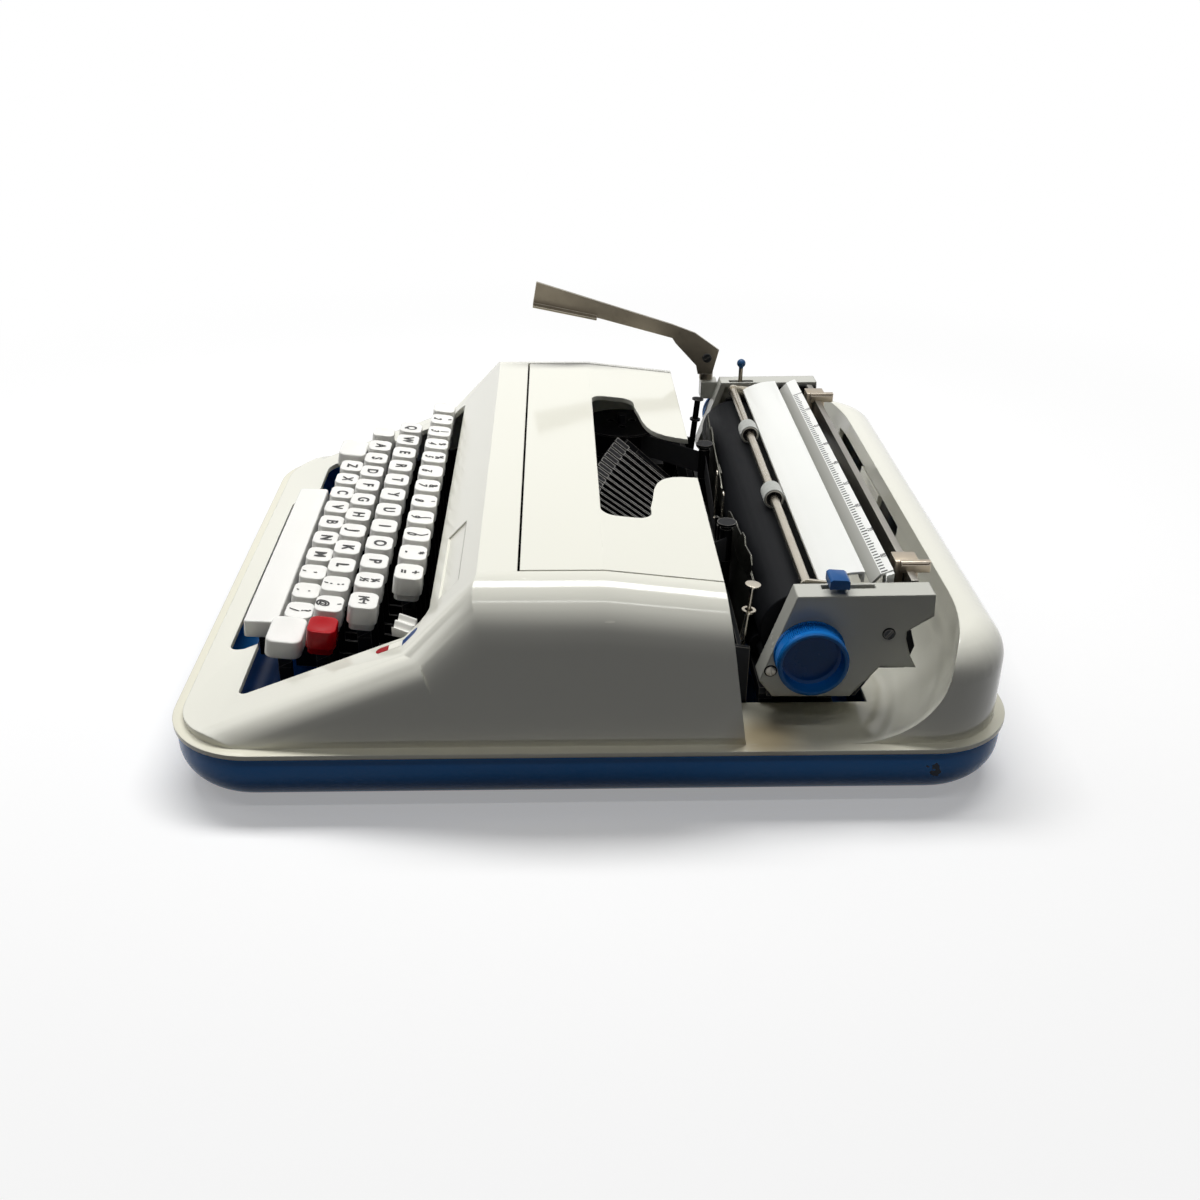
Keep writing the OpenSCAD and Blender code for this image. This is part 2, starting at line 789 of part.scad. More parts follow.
module margin_stop_left() { color("#c9c8c4") translate([stop_x[0], 0, 0]) margin_stop(); }
module margin_stop_right() { color("#c9c8c4") translate([stop_x[1], 0, 0]) margin_stop(); }

module paper_bail() {
    color("#c4c3bd") {
        rod_x(-bail_arm_x - 1.4, bail_arm_x + 1.4, bail_y, bail_z, bail_r);
        for (s = [-1, 1]) {
            side(s > 0 ? bail_arm_x : -bail_arm_x - 1.4, s > 0 ? bail_arm_x + 1.4 : -bail_arm_x) {
                polygon([[bail_y, bail_z - 3], [bail_y, bail_z + 3], [bail_pivot[0], bail_pivot[1] + 3.4],
                    [bail_pivot[0], bail_pivot[1] - 3.4]]);
                translate([bail_y, bail_z]) circle(3);
                translate(bail_pivot) circle(3.4);
            }
            rod_x(s > 0 ? bail_arm_x : -cheek_x, s > 0 ? cheek_x : -bail_arm_x, bail_pivot[0],
                bail_pivot[1], 2);
        }
    }
}

module bail_roller(x) {
    difference() {
        rod_x(x - roller_w / 2, x + roller_w / 2, bail_y, bail_z, roller_r);
        rod_x(-big, big, bail_y, bail_z, bail_r + run_gap);
    }
}

module bail_roller_left() { color("#7d7d7b") bail_roller(bail_roller_x[0]); }
module bail_roller_right() { color("#7d7d7b") bail_roller(bail_roller_x[1]); }

module platen() {
    color("#1d2026") difference() {
        rod_x(-platen_l, platen_l, platen_y, platen_z, platen_r);
        rod_x(-big, big, platen_y, platen_z, shaft_r + run_gap);
    }
}

module platen_shaft() {
    color("#a8a8a6") rod_x(-shaft_l, shaft_l, platen_y, platen_z, shaft_r);
}

module knob() {
    translate([plate_x + pass_gap, platen_y, platen_z]) rotate([0, 90, 0]) difference() {
        rotate_extrude() polygon([[0, 0], [knob_r - 1, 0], [knob_r, 1], [knob_r, knob_w - 1.5],
            [knob_r - 1.5, knob_w], [knob_r - 3.2, knob_w], [knob_r - 3.8, knob_w - knob_dish],
            [0, knob_w - knob_dish]]);
        for (i = [0 : 29]) rotate(i * 12) translate([knob_r + 0.5, 0, 2]) cylinder(h = knob_w, r = 0.9);
        translate([0, 0, -1]) cylinder(h = knob_w - knob_dish, r = shaft_r + run_gap);
    }
}

module knob_right() { color("#1f63b0") knob(); }
module knob_left() { color("#1f63b0") mirror([1, 0, 0]) knob(); }

module ratchet_wheel() {
    color("#a09a88") difference() {
        rod_x(-platen_l - 3.2, -platen_l - pass_gap, platen_y, platen_z, platen_r - 2);
        rod_x(-big, big, platen_y, platen_z, shaft_r + run_gap);
        for (i = [0 : 29]) translate([-platen_l - 2, platen_y, platen_z]) rotate([i * 12, 0, 0])
            translate([0, platen_r - 2, 0]) rotate([45, 0, 0]) cube([6, 2, 2], center = true);
    }
}

module feed_roller(d) {
    rod_x(-100, 100, platen_y + d * feed_dy, feed_z, feed_r);
    rod_x(-cheek_x + 0.2, cheek_x - 0.2, platen_y + d * feed_dy, feed_z, 2);
}

module feed_roller_front() { color("#303236") feed_roller(-1); }
module feed_roller_rear() { color("#303236") feed_roller(1); }

// Carriage return lever: a folded strip on an upright post
module return_lever() {
    hub = [lever_post[0], lever_post[1]];
    color("#cfcdc6") difference() {
        union() {
            side(hub[0] + 2.6, hub[0] + 4.2)
                polygon([[-25.4, 142.3], [52.5, 117.9], [66.1, 112.8], [80.5, 102.7], [77, 88.2], [68.6, 88.2],
                    [67.4, 93.4], [54.9, 106.7], [52.8, 109.8], [9.1, 121.7], [-27.6, 129.2]]);
            translate([hub[0], hub[1], lever_hub_z + pass_gap]) cylinder(h = 14, r = 4);
            translate([hub[0] + 2.6, -27.6, 129.2]) rotate([-11.5, 0, 0]) cube([8, 37, 1.2]);
        }
        translate([hub[0], hub[1], 0]) cylinder(h = big, r = 2.5 + run_gap);
    }
}

module paper_release() {
    x = plate_x - plate_t + 1.5 + pass_gap;
    color("#1f63b0") {
        side(x, x + 2.8) {
            polygon([[100, 66], [106, 66], [103, 91], [98.5, 91]]);
            translate([103, 66]) circle(4);
        }
        side(x - 1.5, x + 8.5)
            polygon([[94, 89.6], [102, 89.6], [102, 92.8], [101, 93.4], [95, 93.8], [94, 93]]);
        rod_x(cheek_x + pass_gap, plate_x - 3 - pass_gap, 103, 66, 2);
    }
}

module line_space_lever() {
    x = -plate_x + plate_t - 4.9 + pass_gap;
    color("#1f63b0") {
        side(x, x + 2.8) {
            polygon([[91, 70], [95, 70], [94.5, 93], [91.5, 93]]);
            translate([93, 70]) circle(4);
        }
        translate([x + 1.4, 92.5, 96.5]) sphere(4);
        rod_x(3 + pass_gap - plate_x, -cheek_x - pass_gap, 93, 70, 2);
    }
}

// Keys
module taper(w, d, h, draft) {
    intersection() {
        side(-w, w) polygon([[-d / 2, 0], [d / 2, 0], [d / 2 - draft, h], [draft - d / 2, h]]);
        translate([0, d, 0]) rotate([90, 0, 0]) linear_extrude(2 * d)
            polygon([[-w / 2, 0], [w / 2, 0], [w / 2 - draft, h], [draft - w / 2, h]]);
        linear_extrude(h) rounded(w - draft, d - draft, cap_r);
    }
}

module cap(x, y, z, w, d, collar) {
    dish = 0.9;
    translate([x, y, z - cap_h + dish]) rotate([key_tilt, 0, 0]) {
        difference() {
            taper(w, d, cap_h, cap_draft);
            translate([0, 0, cap_h - dish]) intersection() {
                translate([0, 0, dish_r]) sphere(dish_r);
                cube([w + 1, d + 1, 6], center = true);
            }
        }
        if (collar) translate([1.2 - w / 2, 1.2 - d / 2, -collar_h]) cube([w - 2.4, d - 2.4, collar_h]);
    }
}

// A key lever from the fulcrum rod, down below the type basket and up under its cap
module key_lever(x, y, z) {
    difference() {
        side(x - lever_t / 2, x + lever_t / 2) {
            polygon([[y - 3, z], [y - 3, lever_front], [28, lever_low], [50, lever_low],
                [fulcrum_y + 2, fulcrum_z - 3], [fulcrum_y - 4, fulcrum_z + 3], [46, lever_low + lever_h],
                [28, lever_low + lever_h], [y + 3, lever_front + 8], [y + 3, z]]);
            translate([fulcrum_y, fulcrum_z]) circle(5);
        }
        rod_x(-big, big, fulcrum_y, fulcrum_z, fulcrum_r + run_gap);
    }
}

module key(x, y, z, w = cap_w, d = cap_d) {
    cap(x, y, z, w, d, true);
    key_lever(x, y, z - cap_h + 1.3);
}

module row_key(r, i) { key(row_x[r] + i * key_pitch, row_y[r], row_z[r]); }

module keys_row_1() { color("#f1f0ec") for (i = [1 : row_n[0] - 1]) row_key(0, i); }
module keys_row_2() { color("#f1f0ec") for (i = [0 : row_n[1] - 2]) row_key(1, i); }
module keys_row_3() { color("#f1f0ec") for (i = [0 : row_n[2] - 1]) row_key(2, i); }
module keys_row_4() { color("#f1f0ec") for (i = [0 : row_n[3] - 1]) if (i != solo_key) row_key(3, i); }
module key_n() { color("#f1f0ec") row_key(3, solo_key); }
module backspace_key() { color("#f1f0ec") row_key(0, 0); }
module margin_release_key() { color("#f1f0ec") row_key(1, row_n[1] - 1); }
module tab_key() { color("#c0392b") key(tab_x, row_y[2], row_z[2]); }
module shift_lock() { color("#f1f0ec") key(lock_x, row_y[2], row_z[2] + 1, 14); }
module shift_keys() {
    color("#f1f0ec") for (i = [0, 1]) {
        cap(shift_x[i], shift_y, shift_z, shift_w, shift_d, false);
        key_lever(shift_lever_x[i], shift_y, shift_z - cap_h + 3);
    }
}

module space_bar() {
    color("#f1f0ec") {
        translate([0, space_y, space_z - cap_h]) rotate([key_tilt / 3, 0, 0])
            taper(space_l, space_d, cap_h, cap_draft);
        for (x = space_lever_x) key_lever(x, space_y, space_z - cap_h + 1);
    }
}

module colour_selector() {
    x = frame_x + frame_t + 2 * pass_gap;
    color("#eeeeea") {
        side(x, x + lever_t) {
            polygon([[selector_y - 2, selector_z], [selector_y + 2, selector_z],
                [selector_y + 2, 64], [selector_y - 2, 64]]);
            translate([selector_y, selector_z]) circle(4);
        }
        translate([selector_x, selector_y, 62]) taper(9, 10, 6, 1);
        rod_x(frame_x + frame_t + pass_gap, x + lever_t, selector_y, selector_z, 2);
    }
}

base_tray();
rubber_feet();
case_screws();
body_shell();
side_frames();
cross_bar();
fulcrum_rod();
type_segment();
type_rest();
type_bars();
type_bar_n();
type_guide();
ribbon_vibrator();
ribbon_posts();
ribbon_pins();
card_plates();
spool_brackets();
spool_left();
spool_right();
ribbon();
carriage_rails();
spring_drum();
escape_wheel();
ribbon_cover();
carriage_bed();
end_plate_left();
end_plate_right();
plate_screws();
toothed_rack();
paper_table();
paper_scale();
margin_rail();
margin_stop_left();
margin_stop_right();
paper_bail();
bail_roller_left();
bail_roller_right();
platen();
platen_shaft();
knob_left();
knob_right();
ratchet_wheel();
feed_roller_front();
feed_roller_rear();
return_lever();
paper_release();
line_space_lever();
keys_row_1();
keys_row_2();
keys_row_3();
keys_row_4();
key_n();
backspace_key();
margin_release_key();
tab_key();
shift_keys();
shift_lock();
space_bar();
colour_selector();
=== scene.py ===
import bpy
import math
from mathutils import Matrix, Vector


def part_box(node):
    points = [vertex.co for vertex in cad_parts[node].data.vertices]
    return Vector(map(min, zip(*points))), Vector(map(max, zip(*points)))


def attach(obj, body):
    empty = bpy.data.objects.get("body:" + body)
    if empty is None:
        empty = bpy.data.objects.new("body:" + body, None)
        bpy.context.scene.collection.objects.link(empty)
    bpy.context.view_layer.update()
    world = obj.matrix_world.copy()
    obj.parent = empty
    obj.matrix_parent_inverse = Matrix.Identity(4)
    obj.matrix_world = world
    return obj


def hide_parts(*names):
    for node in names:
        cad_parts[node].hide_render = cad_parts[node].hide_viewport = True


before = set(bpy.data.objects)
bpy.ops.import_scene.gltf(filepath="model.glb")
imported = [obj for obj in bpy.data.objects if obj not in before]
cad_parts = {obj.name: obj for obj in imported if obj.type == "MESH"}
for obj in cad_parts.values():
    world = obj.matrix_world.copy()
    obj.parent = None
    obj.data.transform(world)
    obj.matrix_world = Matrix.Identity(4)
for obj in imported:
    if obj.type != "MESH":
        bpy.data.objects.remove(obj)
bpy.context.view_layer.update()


# The viewpoint: a normal lens on the typist's right, looking across the machine
# from a little above, as worked out from the key rows and the rim.
def put(name, data):
    piece = bpy.data.objects.new(name, data)
    bpy.context.scene.collection.objects.link(piece)
    return piece


eye = Vector((0.5943, -0.01485, 0.3272))
yaw, pitch, roll = math.radians(2.15), math.radians(27.87), math.radians(-0.66)
ahead = Vector((-math.cos(yaw) * math.cos(pitch), math.sin(yaw) * math.cos(pitch),
                -math.sin(pitch)))
level = Vector((math.sin(yaw), math.cos(yaw), 0))
under = ahead.cross(level)
across = math.cos(roll) * level + math.sin(roll) * under
upward = math.sin(roll) * level - math.cos(roll) * under
lens = bpy.data.cameras.new("viewpoint")
lens.sensor_width = 36
lens.lens = 38.99
lens.clip_start = 0.01
lens.clip_end = 100
viewpoint = put("viewpoint", lens)
viewpoint.matrix_world = Matrix((across, upward, -ahead)).transposed().to_4x4()
viewpoint.location = eye
bpy.context.scene.camera = viewpoint
bpy.context.scene.view_settings.view_transform = "Standard"


# The studio: a pale paper floor that keeps the shadow and fades to white further out, a long
# soft lamp overhead, a weak one at the front left, a thin strip that draws the highlight
# along the hood's edge, and weak light from all round.
def linear(code):
    parts = [int(code[i:i + 2], 16) / 255 for i in (1, 3, 5)]
    return [c / 12.92 if c <= 0.04045 else ((c + 0.055) / 1.055) ** 2.4 for c in parts] + [1]


def add(tree, kind, values={}, links={}, **settings):
    node = tree.nodes.new("ShaderNode" + kind)
    for name, value in settings.items():
        setattr(node, name, value)
    for name, value in values.items():
        node.inputs[name].default_value = value
    for name, (source, output) in links.items():
        tree.links.new(source.outputs[output], node.inputs[name])
    return node


def clear():
    if bpy.context.mode != "OBJECT":
        bpy.ops.object.mode_set(mode="OBJECT")
    bpy.ops.object.select_all(action="DESELECT")


def alone(piece):
    clear()
    piece.select_set(True)
    bpy.context.view_layer.objects.active = piece


clear()
bpy.ops.mesh.primitive_grid_add(x_subdivisions=2, y_subdivisions=2, size=24)
floor = bpy.context.object
floor.name = "floor"
paper = bpy.data.materials.new("studio_paper")
sky = bpy.data.worlds.new("studio")
bpy.context.scene.world = sky
masks = []
for studio in (paper, sky):
    # What the eye sees, directly or in a gloss, is kept apart from what lights the machine.
    studio.use_nodes = True
    tree = studio.node_tree
    tree.nodes.clear()
    ray = add(tree, "LightPath")
    seen = add(tree, "Math", {}, {0: (ray, "Is Camera Ray"), 1: (ray, "Is Glossy Ray")},
               operation="MAXIMUM")
    masks.append(add(tree, "Math", {}, {0: (seen, 0), 1: (ray, "Is Transmission Ray")},
                     operation="MAXIMUM"))

tree = paper.node_tree
place = add(tree, "TexCoord")
away = add(tree, "VectorMath", {}, {0: (place, "Object")}, operation="LENGTH")
fade = add(tree, "MapRange", {"From Min": 0.28, "From Max": 0.75}, {"Value": (away, "Value")},
           interpolation_type="SMOOTHSTEP")
shadowed = add(tree, "BsdfDiffuse", {"Color": (1, 1, 1, 1)})
white = add(tree, "Emission", {"Color": (1, 1, 1, 1), "Strength": 1})
dim = add(tree, "BsdfDiffuse", {"Color": (0.06, 0.06, 0.06, 1)})
soft = add(tree, "MixShader", {0: 0.3}, {1: (shadowed, 0), 2: (white, 0)})
shown = add(tree, "MixShader", {}, {0: (fade, 0), 1: (soft, 0), 2: (white, 0)})
mixed = add(tree, "MixShader", {}, {0: (masks[0], 0), 1: (dim, 0), 2: (shown, 0)})
add(tree, "OutputMaterial", {}, {"Surface": (mixed, 0)})
floor.data.materials.append(paper)

tree = sky.node_tree
strength = add(tree, "MapRange", {"To Min": 0.025, "To Max": 1}, {"Value": (masks[1], 0)})
glow = add(tree, "Background", {"Color": (1, 1, 1, 1)}, {"Strength": (strength, 0)})
add(tree, "OutputWorld", {}, {"Surface": (glow, 0)})

aim = Vector((0.1, 0, 0.05))
for name, spot, wide, deep, power in (("lamp_left", (-0.3, -1.1, 1.05), 0.9, 0.9, 2.5),
                                     ("lamp_above", (-0.36, 0.02, 1.35), 1.5, 0.36, 21),
                                     ("lamp_strip", (0.57, 0, 1.28), 1.6, 0.05, 2)):
    light = bpy.data.lights.new(name, "AREA")
    light.shape = "RECTANGLE"
    light.size = wide
    light.size_y = deep
    light.energy = power
    lamp = put(name, light)
    lamp.location = spot
    lamp.rotation_euler = (aim - Vector(spot)).to_track_quat("-Z", "Y").to_euler()

# Base tray: a deep tray of blue ABS, moulded in one piece, that the whole machine is
# screwed into. Its inside is painted darker as painted shade, and a dark blotch of
# painted shade marks the near back corner.
crease_angle = math.radians(28)


def finish(name):
    material = bpy.data.materials.new(name)
    material.use_nodes = True
    tree = material.node_tree
    place = add(tree, "TexCoord")
    return material, tree, tree.nodes["Principled BSDF"], {"Vector": (place, "Object")}


def dress(material, *nodes, width=0.0):
    for name in nodes:
        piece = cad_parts[name]
        piece.data.materials.clear()
        piece.data.materials.append(material)
        for face in piece.data.polygons:
            face.use_smooth = True
        weld = piece.modifiers.new("weld", "WELD")
        weld.merge_threshold = 2e-6
        if width:
            bevel = piece.modifiers.new("round", "BEVEL")
            bevel.width = width
            bevel.segments = 3
            bevel.limit_method = "ANGLE"
            bevel.angle_limit = crease_angle
            bevel.use_clamp_overlap = True
            bevel.harden_normals = True
        else:
            crease = piece.modifiers.new("crease", "EDGE_SPLIT")
            crease.split_angle = crease_angle
            even = piece.modifiers.new("even", "WEIGHTED_NORMAL")
            even.weight = 80


def plastic(name, light, dark, rough, mottle, shine=0.5, edge=None):
    # Moulded ABS: an even colour that drifts a little, an orange-peel skin of 1 mm grains,
    # coarser than real so that it shows, soft gloss, and edges that catch the light.
    material, tree, shader, local = finish(name)
    drift = add(tree, "TexNoise", {"Scale": mottle, "Detail": 4}, local)
    tint = add(tree, "Mix", {"A": linear(light), "B": linear(dark)},
               {"Factor": (drift, "Fac")}, data_type="RGBA")
    tree.links.new(tint.outputs["Result"], shader.inputs["Base Color"])
    smear = add(tree, "TexNoise", {"Scale": 38, "Detail": 6, "Roughness": 0.65}, local)
    gloss = add(tree, "MapRange", {"From Min": 0.35, "From Max": 0.7, "To Min": rough,
                                   "To Max": rough + 0.06}, {"Value": (smear, "Fac")})
    tree.links.new(gloss.outputs[0], shader.inputs["Roughness"])
    skin = add(tree, "TexNoise", {"Scale": 900, "Detail": 2}, local)
    bump = add(tree, "Bump", {"Strength": 0.03, "Distance": 0.0002}, {"Height": (skin, "Fac")})
    tree.links.new(bump.outputs[0], shader.inputs["Normal"])
    if edge:
        radius, samples = edge
        soft = add(tree, "Bevel", {"Radius": radius}, samples=samples)
        tree.links.new(soft.outputs[0], bump.inputs["Normal"])
    shader.inputs["Specular IOR Level"].default_value = shine
    return material, tree, shader, local, tint


base_blue, tree, shader, local, tint = plastic("moulded_abs_blue", "#3590e8", "#2b80d4",
                                               0.2, 9, 0.14)
# A dark blotch at the near back corner: painted shade where the corner turns away from the light.
corner_shade_spot = add(tree, "Mapping", {"Location": (-0.1607, -0.1396, -0.018)}, local)
reach = add(tree, "VectorMath", {}, {0: (corner_shade_spot, 0)}, operation="LENGTH")
painted_light_amount = add(tree, "TexNoise", {"Scale": 260, "Detail": 3}, local)
near = add(tree, "MapRange", {"From Min": 0.001, "From Max": 0.006, "To Min": 0.6, "To Max": 0.2},
           {"Value": (reach, "Value")})
painted_light = add(tree, "Math", {}, {0: (near, 0), 1: (painted_light_amount, "Fac")}, operation="GREATER_THAN")
corner_shaded = add(tree, "Mix", {"B": linear("#10243a")},
             {"Factor": (painted_light, 0), "A": (tint, "Result")}, data_type="RGBA")
# The inside of the tray is painted a darker blue: painted shade in the tray.
inner_x, inner_y = 0.149, 0.163
apart = add(tree, "SeparateXYZ", {}, local)
side = add(tree, "Math", {}, {0: (apart, "X")}, operation="ABSOLUTE")
end = add(tree, "Math", {}, {0: (apart, "Y")}, operation="ABSOLUTE")
side = add(tree, "Math", {1: inner_x}, {0: (side, 0)}, operation="LESS_THAN")
end = add(tree, "Math", {1: inner_y}, {0: (end, 0)}, operation="LESS_THAN")
inside_shade_mask = add(tree, "Math", {}, {0: (side, 0), 1: (end, 0)}, operation="MULTIPLY")
inside_shaded = add(tree, "Mix", {"B": linear("#0b2f5e")},
             {"Factor": (inside_shade_mask, 0), "A": (corner_shaded, "Result")}, data_type="RGBA")
tree.links.new(inside_shaded.outputs["Result"], shader.inputs["Base Color"])
dress(base_blue, "base_tray", width=0.0004)


# Feet and underside screws: four moulded rubber feet, held by the screws that also
# hold the two halves of the case together.
def matt(name, light, dark, grain, detail, rough, relief=0.0):
    # Rubber or ink: a dull surface of grains of 1 to 1.5 mm in two near tones, coarser than
    # real so that they show, with a faint relief.
    material, tree, shader, local = finish(name)
    grit = add(tree, "TexNoise", {"Scale": grain, "Detail": detail}, local)
    tint = add(tree, "Mix", {"A": linear(light), "B": linear(dark)},
               {"Factor": (grit, "Fac")}, data_type="RGBA")
    tree.links.new(tint.outputs["Result"], shader.inputs["Base Color"])
    if relief:
        bump = add(tree, "Bump", {"Strength": relief, "Distance": 0.0002},
                   {"Height": (grit, "Fac")})
        tree.links.new(bump.outputs[0], shader.inputs["Normal"])
    shader.inputs["Roughness"].default_value = rough
    return material, tree, shader, local, tint


def metal(name, light, dark, rough, painted_light=None, streak=(1, 1, 1)):
    # Metal with faint handling marks: patches of 15 mm in the colour, scratches of 2 mm in the
    # gloss, finer where it is drawn or brushed. Where an edge colour is given, the edges found by
    # the bevel are painted in it, a painted highlight.
    material, tree, shader, local = finish(name)
    drift = add(tree, "TexNoise", {"Scale": 60, "Detail": 5}, local)
    tint = add(tree, "Mix", {"A": linear(light), "B": linear(dark)},
               {"Factor": (drift, "Fac")}, data_type="RGBA")
    if painted_light:
        flat = add(tree, "NewGeometry")
        soft = add(tree, "Bevel", {"Radius": 0.0005}, samples=6)
        turn = add(tree, "VectorMath", {}, {0: (flat, "Normal"), 1: (soft, 0)},
                   operation="DOT_PRODUCT")
        painted_light_amount = add(tree, "MapRange", {"From Min": 0.97, "From Max": 0.86},
                  {"Value": (turn, "Value")})
        tint = add(tree, "Mix", {"B": linear(painted_light)},
                   {"Factor": (painted_light_amount, 0), "A": (tint, "Result")}, data_type="RGBA")
    tree.links.new(tint.outputs["Result"], shader.inputs["Base Color"])
    along = add(tree, "Mapping", {"Scale": streak}, local)
    lines = add(tree, "TexNoise", {"Scale": 500, "Detail": 3}, {"Vector": (along, 0)})
    gloss = add(tree, "MapRange", {"To Min": rough - 0.07, "To Max": rough + 0.1},
                {"Value": (lines, "Fac")})
    tree.links.new(gloss.outputs[0], shader.inputs["Roughness"])
    bump = add(tree, "Bump", {"Strength": 0.05, "Distance": 0.0001}, {"Height": (lines, "Fac")})
    tree.links.new(bump.outputs[0], shader.inputs["Normal"])
    shader.inputs["Metallic"].default_value = 1
    return material


foot_rubber = matt("moulded_rubber_black", "#151515", "#242423", 700, 3, 0.75, 0.15)[0]
dress(foot_rubber, "rubber_feet", width=0.0003)
screw_steel = metal("plated_steel", "#b9b6ae", "#8f8c86", 0.33)
dress(screw_steel, "case_screws")

# Upper shell: one large moulding of ivory-grey ABS with a polished skin: rim, key deck, hood
# and rear wall. Age has yellowed its rim. The shelf beside the hood is browned, partly as
# yellowing and partly as painted shadow under the end plate, and a small painted highlight
# sits on the hood's near edge.
shell_ivory, tree, shader, local, tint = plastic("moulded_abs_ivory", "#ecebdf", "#e6e5d8",
                                                 0.07, 5, edge=(0.0008, 6))
parts = add(tree, "SeparateXYZ", {}, local)
low = add(tree, "MapRange", {"From Min": 0.0305, "From Max": 0.0275, "To Min": 0, "To Max": 0.4},
          {"Value": (parts, "Z")})
aged = add(tree, "Mix", {"B": linear("#d3c99c")},
           {"Factor": (low, 0), "A": (tint, "Result")}, data_type="RGBA")
# Browned patch on the shelf under the end plate: partly yellowing, partly painted shadow of the
# plate.
shelf = add(tree, "Mapping", {"Location": (-0.152, -0.07, -0.0288)}, local)
reach = add(tree, "VectorMath", {}, {0: (shelf, 0)}, operation="LENGTH")
yellowing_and_shade = add(tree, "MapRange", {"From Min": 0.004, "From Max": 0.022, "To Min": 0.6, "To Max": 0},
            {"Value": (reach, "Value")}, interpolation_type="SMOOTHSTEP")
yellowed_and_shaded = add(tree, "Mix", {"B": linear("#a3874a")},
              {"Factor": (yellowing_and_shade, 0), "A": (aged, "Result")}, data_type="RGBA")
# A small near-white spot on the hood's near edge: a painted highlight.
glint_spot = add(tree, "Mapping", {"Location": (-38.5, -2.7, -211.5), "Scale": (250, 480, 2500)}, local)
reach = add(tree, "VectorMath", {}, {0: (glint_spot, 0)}, operation="LENGTH")
inside = add(tree, "Math", {1: 1}, {0: (reach, "Value")}, operation="LESS_THAN")
glinted = add(tree, "Mix", {"B": linear("#fffdf0")},
              {"Factor": (inside, 0), "A": (yellowed_and_shaded, "Result")}, data_type="RGBA")
tree.links.new(glinted.outputs["Result"], shader.inputs["Base Color"])
dress(shell_ivory, "body_shell")


# Ribbon cover: the hood's lift-up top, a hinged moulding of the shell's plastic. The type
# window's rear edges run slantwise into the neck that the type passes through.
def whole(piece):
    alone(piece)
    bpy.ops.object.mode_set(mode="EDIT")
    bpy.ops.mesh.select_all(action="SELECT")


def extrude(x, y, z):
    bpy.ops.mesh.extrude_region_move(TRANSFORM_OT_translate={"value": (x, y, z)})


def slab(corners, *thick):
    clear()
    bpy.ops.mesh.primitive_circle_add(vertices=len(corners), fill_type="NGON")
    piece = bpy.context.object
    for corner, at in zip(piece.data.vertices, corners):
        corner.co = at
    whole(piece)
    extrude(*thick)
    bpy.ops.mesh.select_all(action="SELECT")
    bpy.ops.mesh.normals_make_consistent(inside=False)
    return piece


def own(node, name):
    # The frame's own mesh, with the points that its faces share made one.
    piece = put(name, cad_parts[node].data.copy())
    whole(piece)
    bpy.ops.mesh.remove_doubles(threshold=0.000003)
    return piece


def cut(piece, tool):
    alone(piece)
    opening = piece.modifiers.new("cut", "BOOLEAN")
    opening.object = tool
    bpy.ops.object.modifier_apply(modifier="cut")
    bpy.data.objects.remove(tool)


outline = ((25.5, 58), (25.5, 50), (26.2, 45), (27.6, 40.5), (30, 36.8), (33.2, 34), (38, 31.8),
           (45, 30), (58, 28.4), (69, 26.6), (74, 25.2), (77.2, 22.6), (78.8, 18.5), (60, 12),
           (60, 9), (0, 9))
window = [(x / 1000, y / 1000, 0.08) for x, y in outline]
window += [(-x, y, z) for x, y, z in reversed(window[:-1])]
cutter = slab(window, 0, 0, 0.03)
lid = own("ribbon_cover", "ribbon_lid")
cut(lid, cutter)
lid.data.materials.clear()
lid.data.materials.append(shell_ivory)
bpy.ops.object.shade_smooth_by_angle(angle=crease_angle)
even = lid.modifiers.new("even", "WEIGHTED_NORMAL")
even.weight = 90
even.keep_sharp = True
bpy.ops.object.modifier_apply(modifier="even")
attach(lid, "cover")
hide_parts("ribbon_cover")

# Frame: pressed steel sides, bar and rails, blued dark so that they don't shine
# through the openings of the case.
# Its pale edge colour is a painted highlight along the frame's edges.
dark_steel = metal("blued_pressed_steel", "#2b2c2e", "#1b1c1e", 0.42, "#77756f")
dress(dark_steel, "side_frames", "cross_bar", "carriage_rails", "spool_brackets", "carriage_bed")
dress(screw_steel, "fulcrum_rod")


# Colour selector: a small white finger piece on a steel stem, hollowed on both sides of a
# ridge that the finger pushes against.
def pick(piece, wanted, kind="FACE"):
    alone(piece)
    bpy.ops.object.mode_set(mode="EDIT")
    bpy.ops.mesh.select_mode(type=kind)
    bpy.ops.mesh.select_all(action="DESELECT")
    bpy.ops.object.mode_set(mode="OBJECT")
    if kind == "EDGE":
        for item in piece.data.edges:
            one, two = (piece.data.vertices[i].co for i in item.vertices)
            item.select = bool(wanted((one + two) / 2, (two - one).normalized()))
    for item in {"FACE": piece.data.polygons, "VERT": piece.data.vertices}.get(kind, ()):
        item.select = bool(wanted(item.center if kind == "FACE" else item.co, item.normal))
    bpy.ops.object.mode_set(mode="EDIT")


def fit(piece, name, material, body, slot, *nodes, angle=30):
    alone(piece)
    piece.name = piece.data.name = name
    piece.data.materials.clear()
    piece.data.materials.append(material)
    bpy.ops.object.shade_smooth_by_angle(angle=math.radians(angle))
    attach(piece, body)
    if nodes:
        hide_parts(*nodes)


def block(low, high):
    clear()
    bpy.ops.mesh.primitive_cube_add(size=1, location=[(a + b) / 2 for a, b in zip(low, high)])
    bpy.ops.transform.resize(value=[b - a for a, b in zip(low, high)])
    bpy.ops.object.transform_apply()
    return bpy.context.object


def rounded(piece, width, segments=3, angle=30):
    alone(piece)
    bevel = piece.modifiers.new("round", "BEVEL")
    bevel.width = width
    bevel.segments = segments
    bevel.limit_method = "ANGLE"
    bevel.angle_limit = math.radians(angle)
    bpy.ops.object.modifier_apply(modifier="round")
    whole(piece)
    bpy.ops.mesh.remove_doubles(threshold=0.000002)
    bpy.ops.object.mode_set(mode="OBJECT")


def about(point, turn):
    return Matrix.Translation(point) @ turn @ Matrix.Translation(-Vector(point))


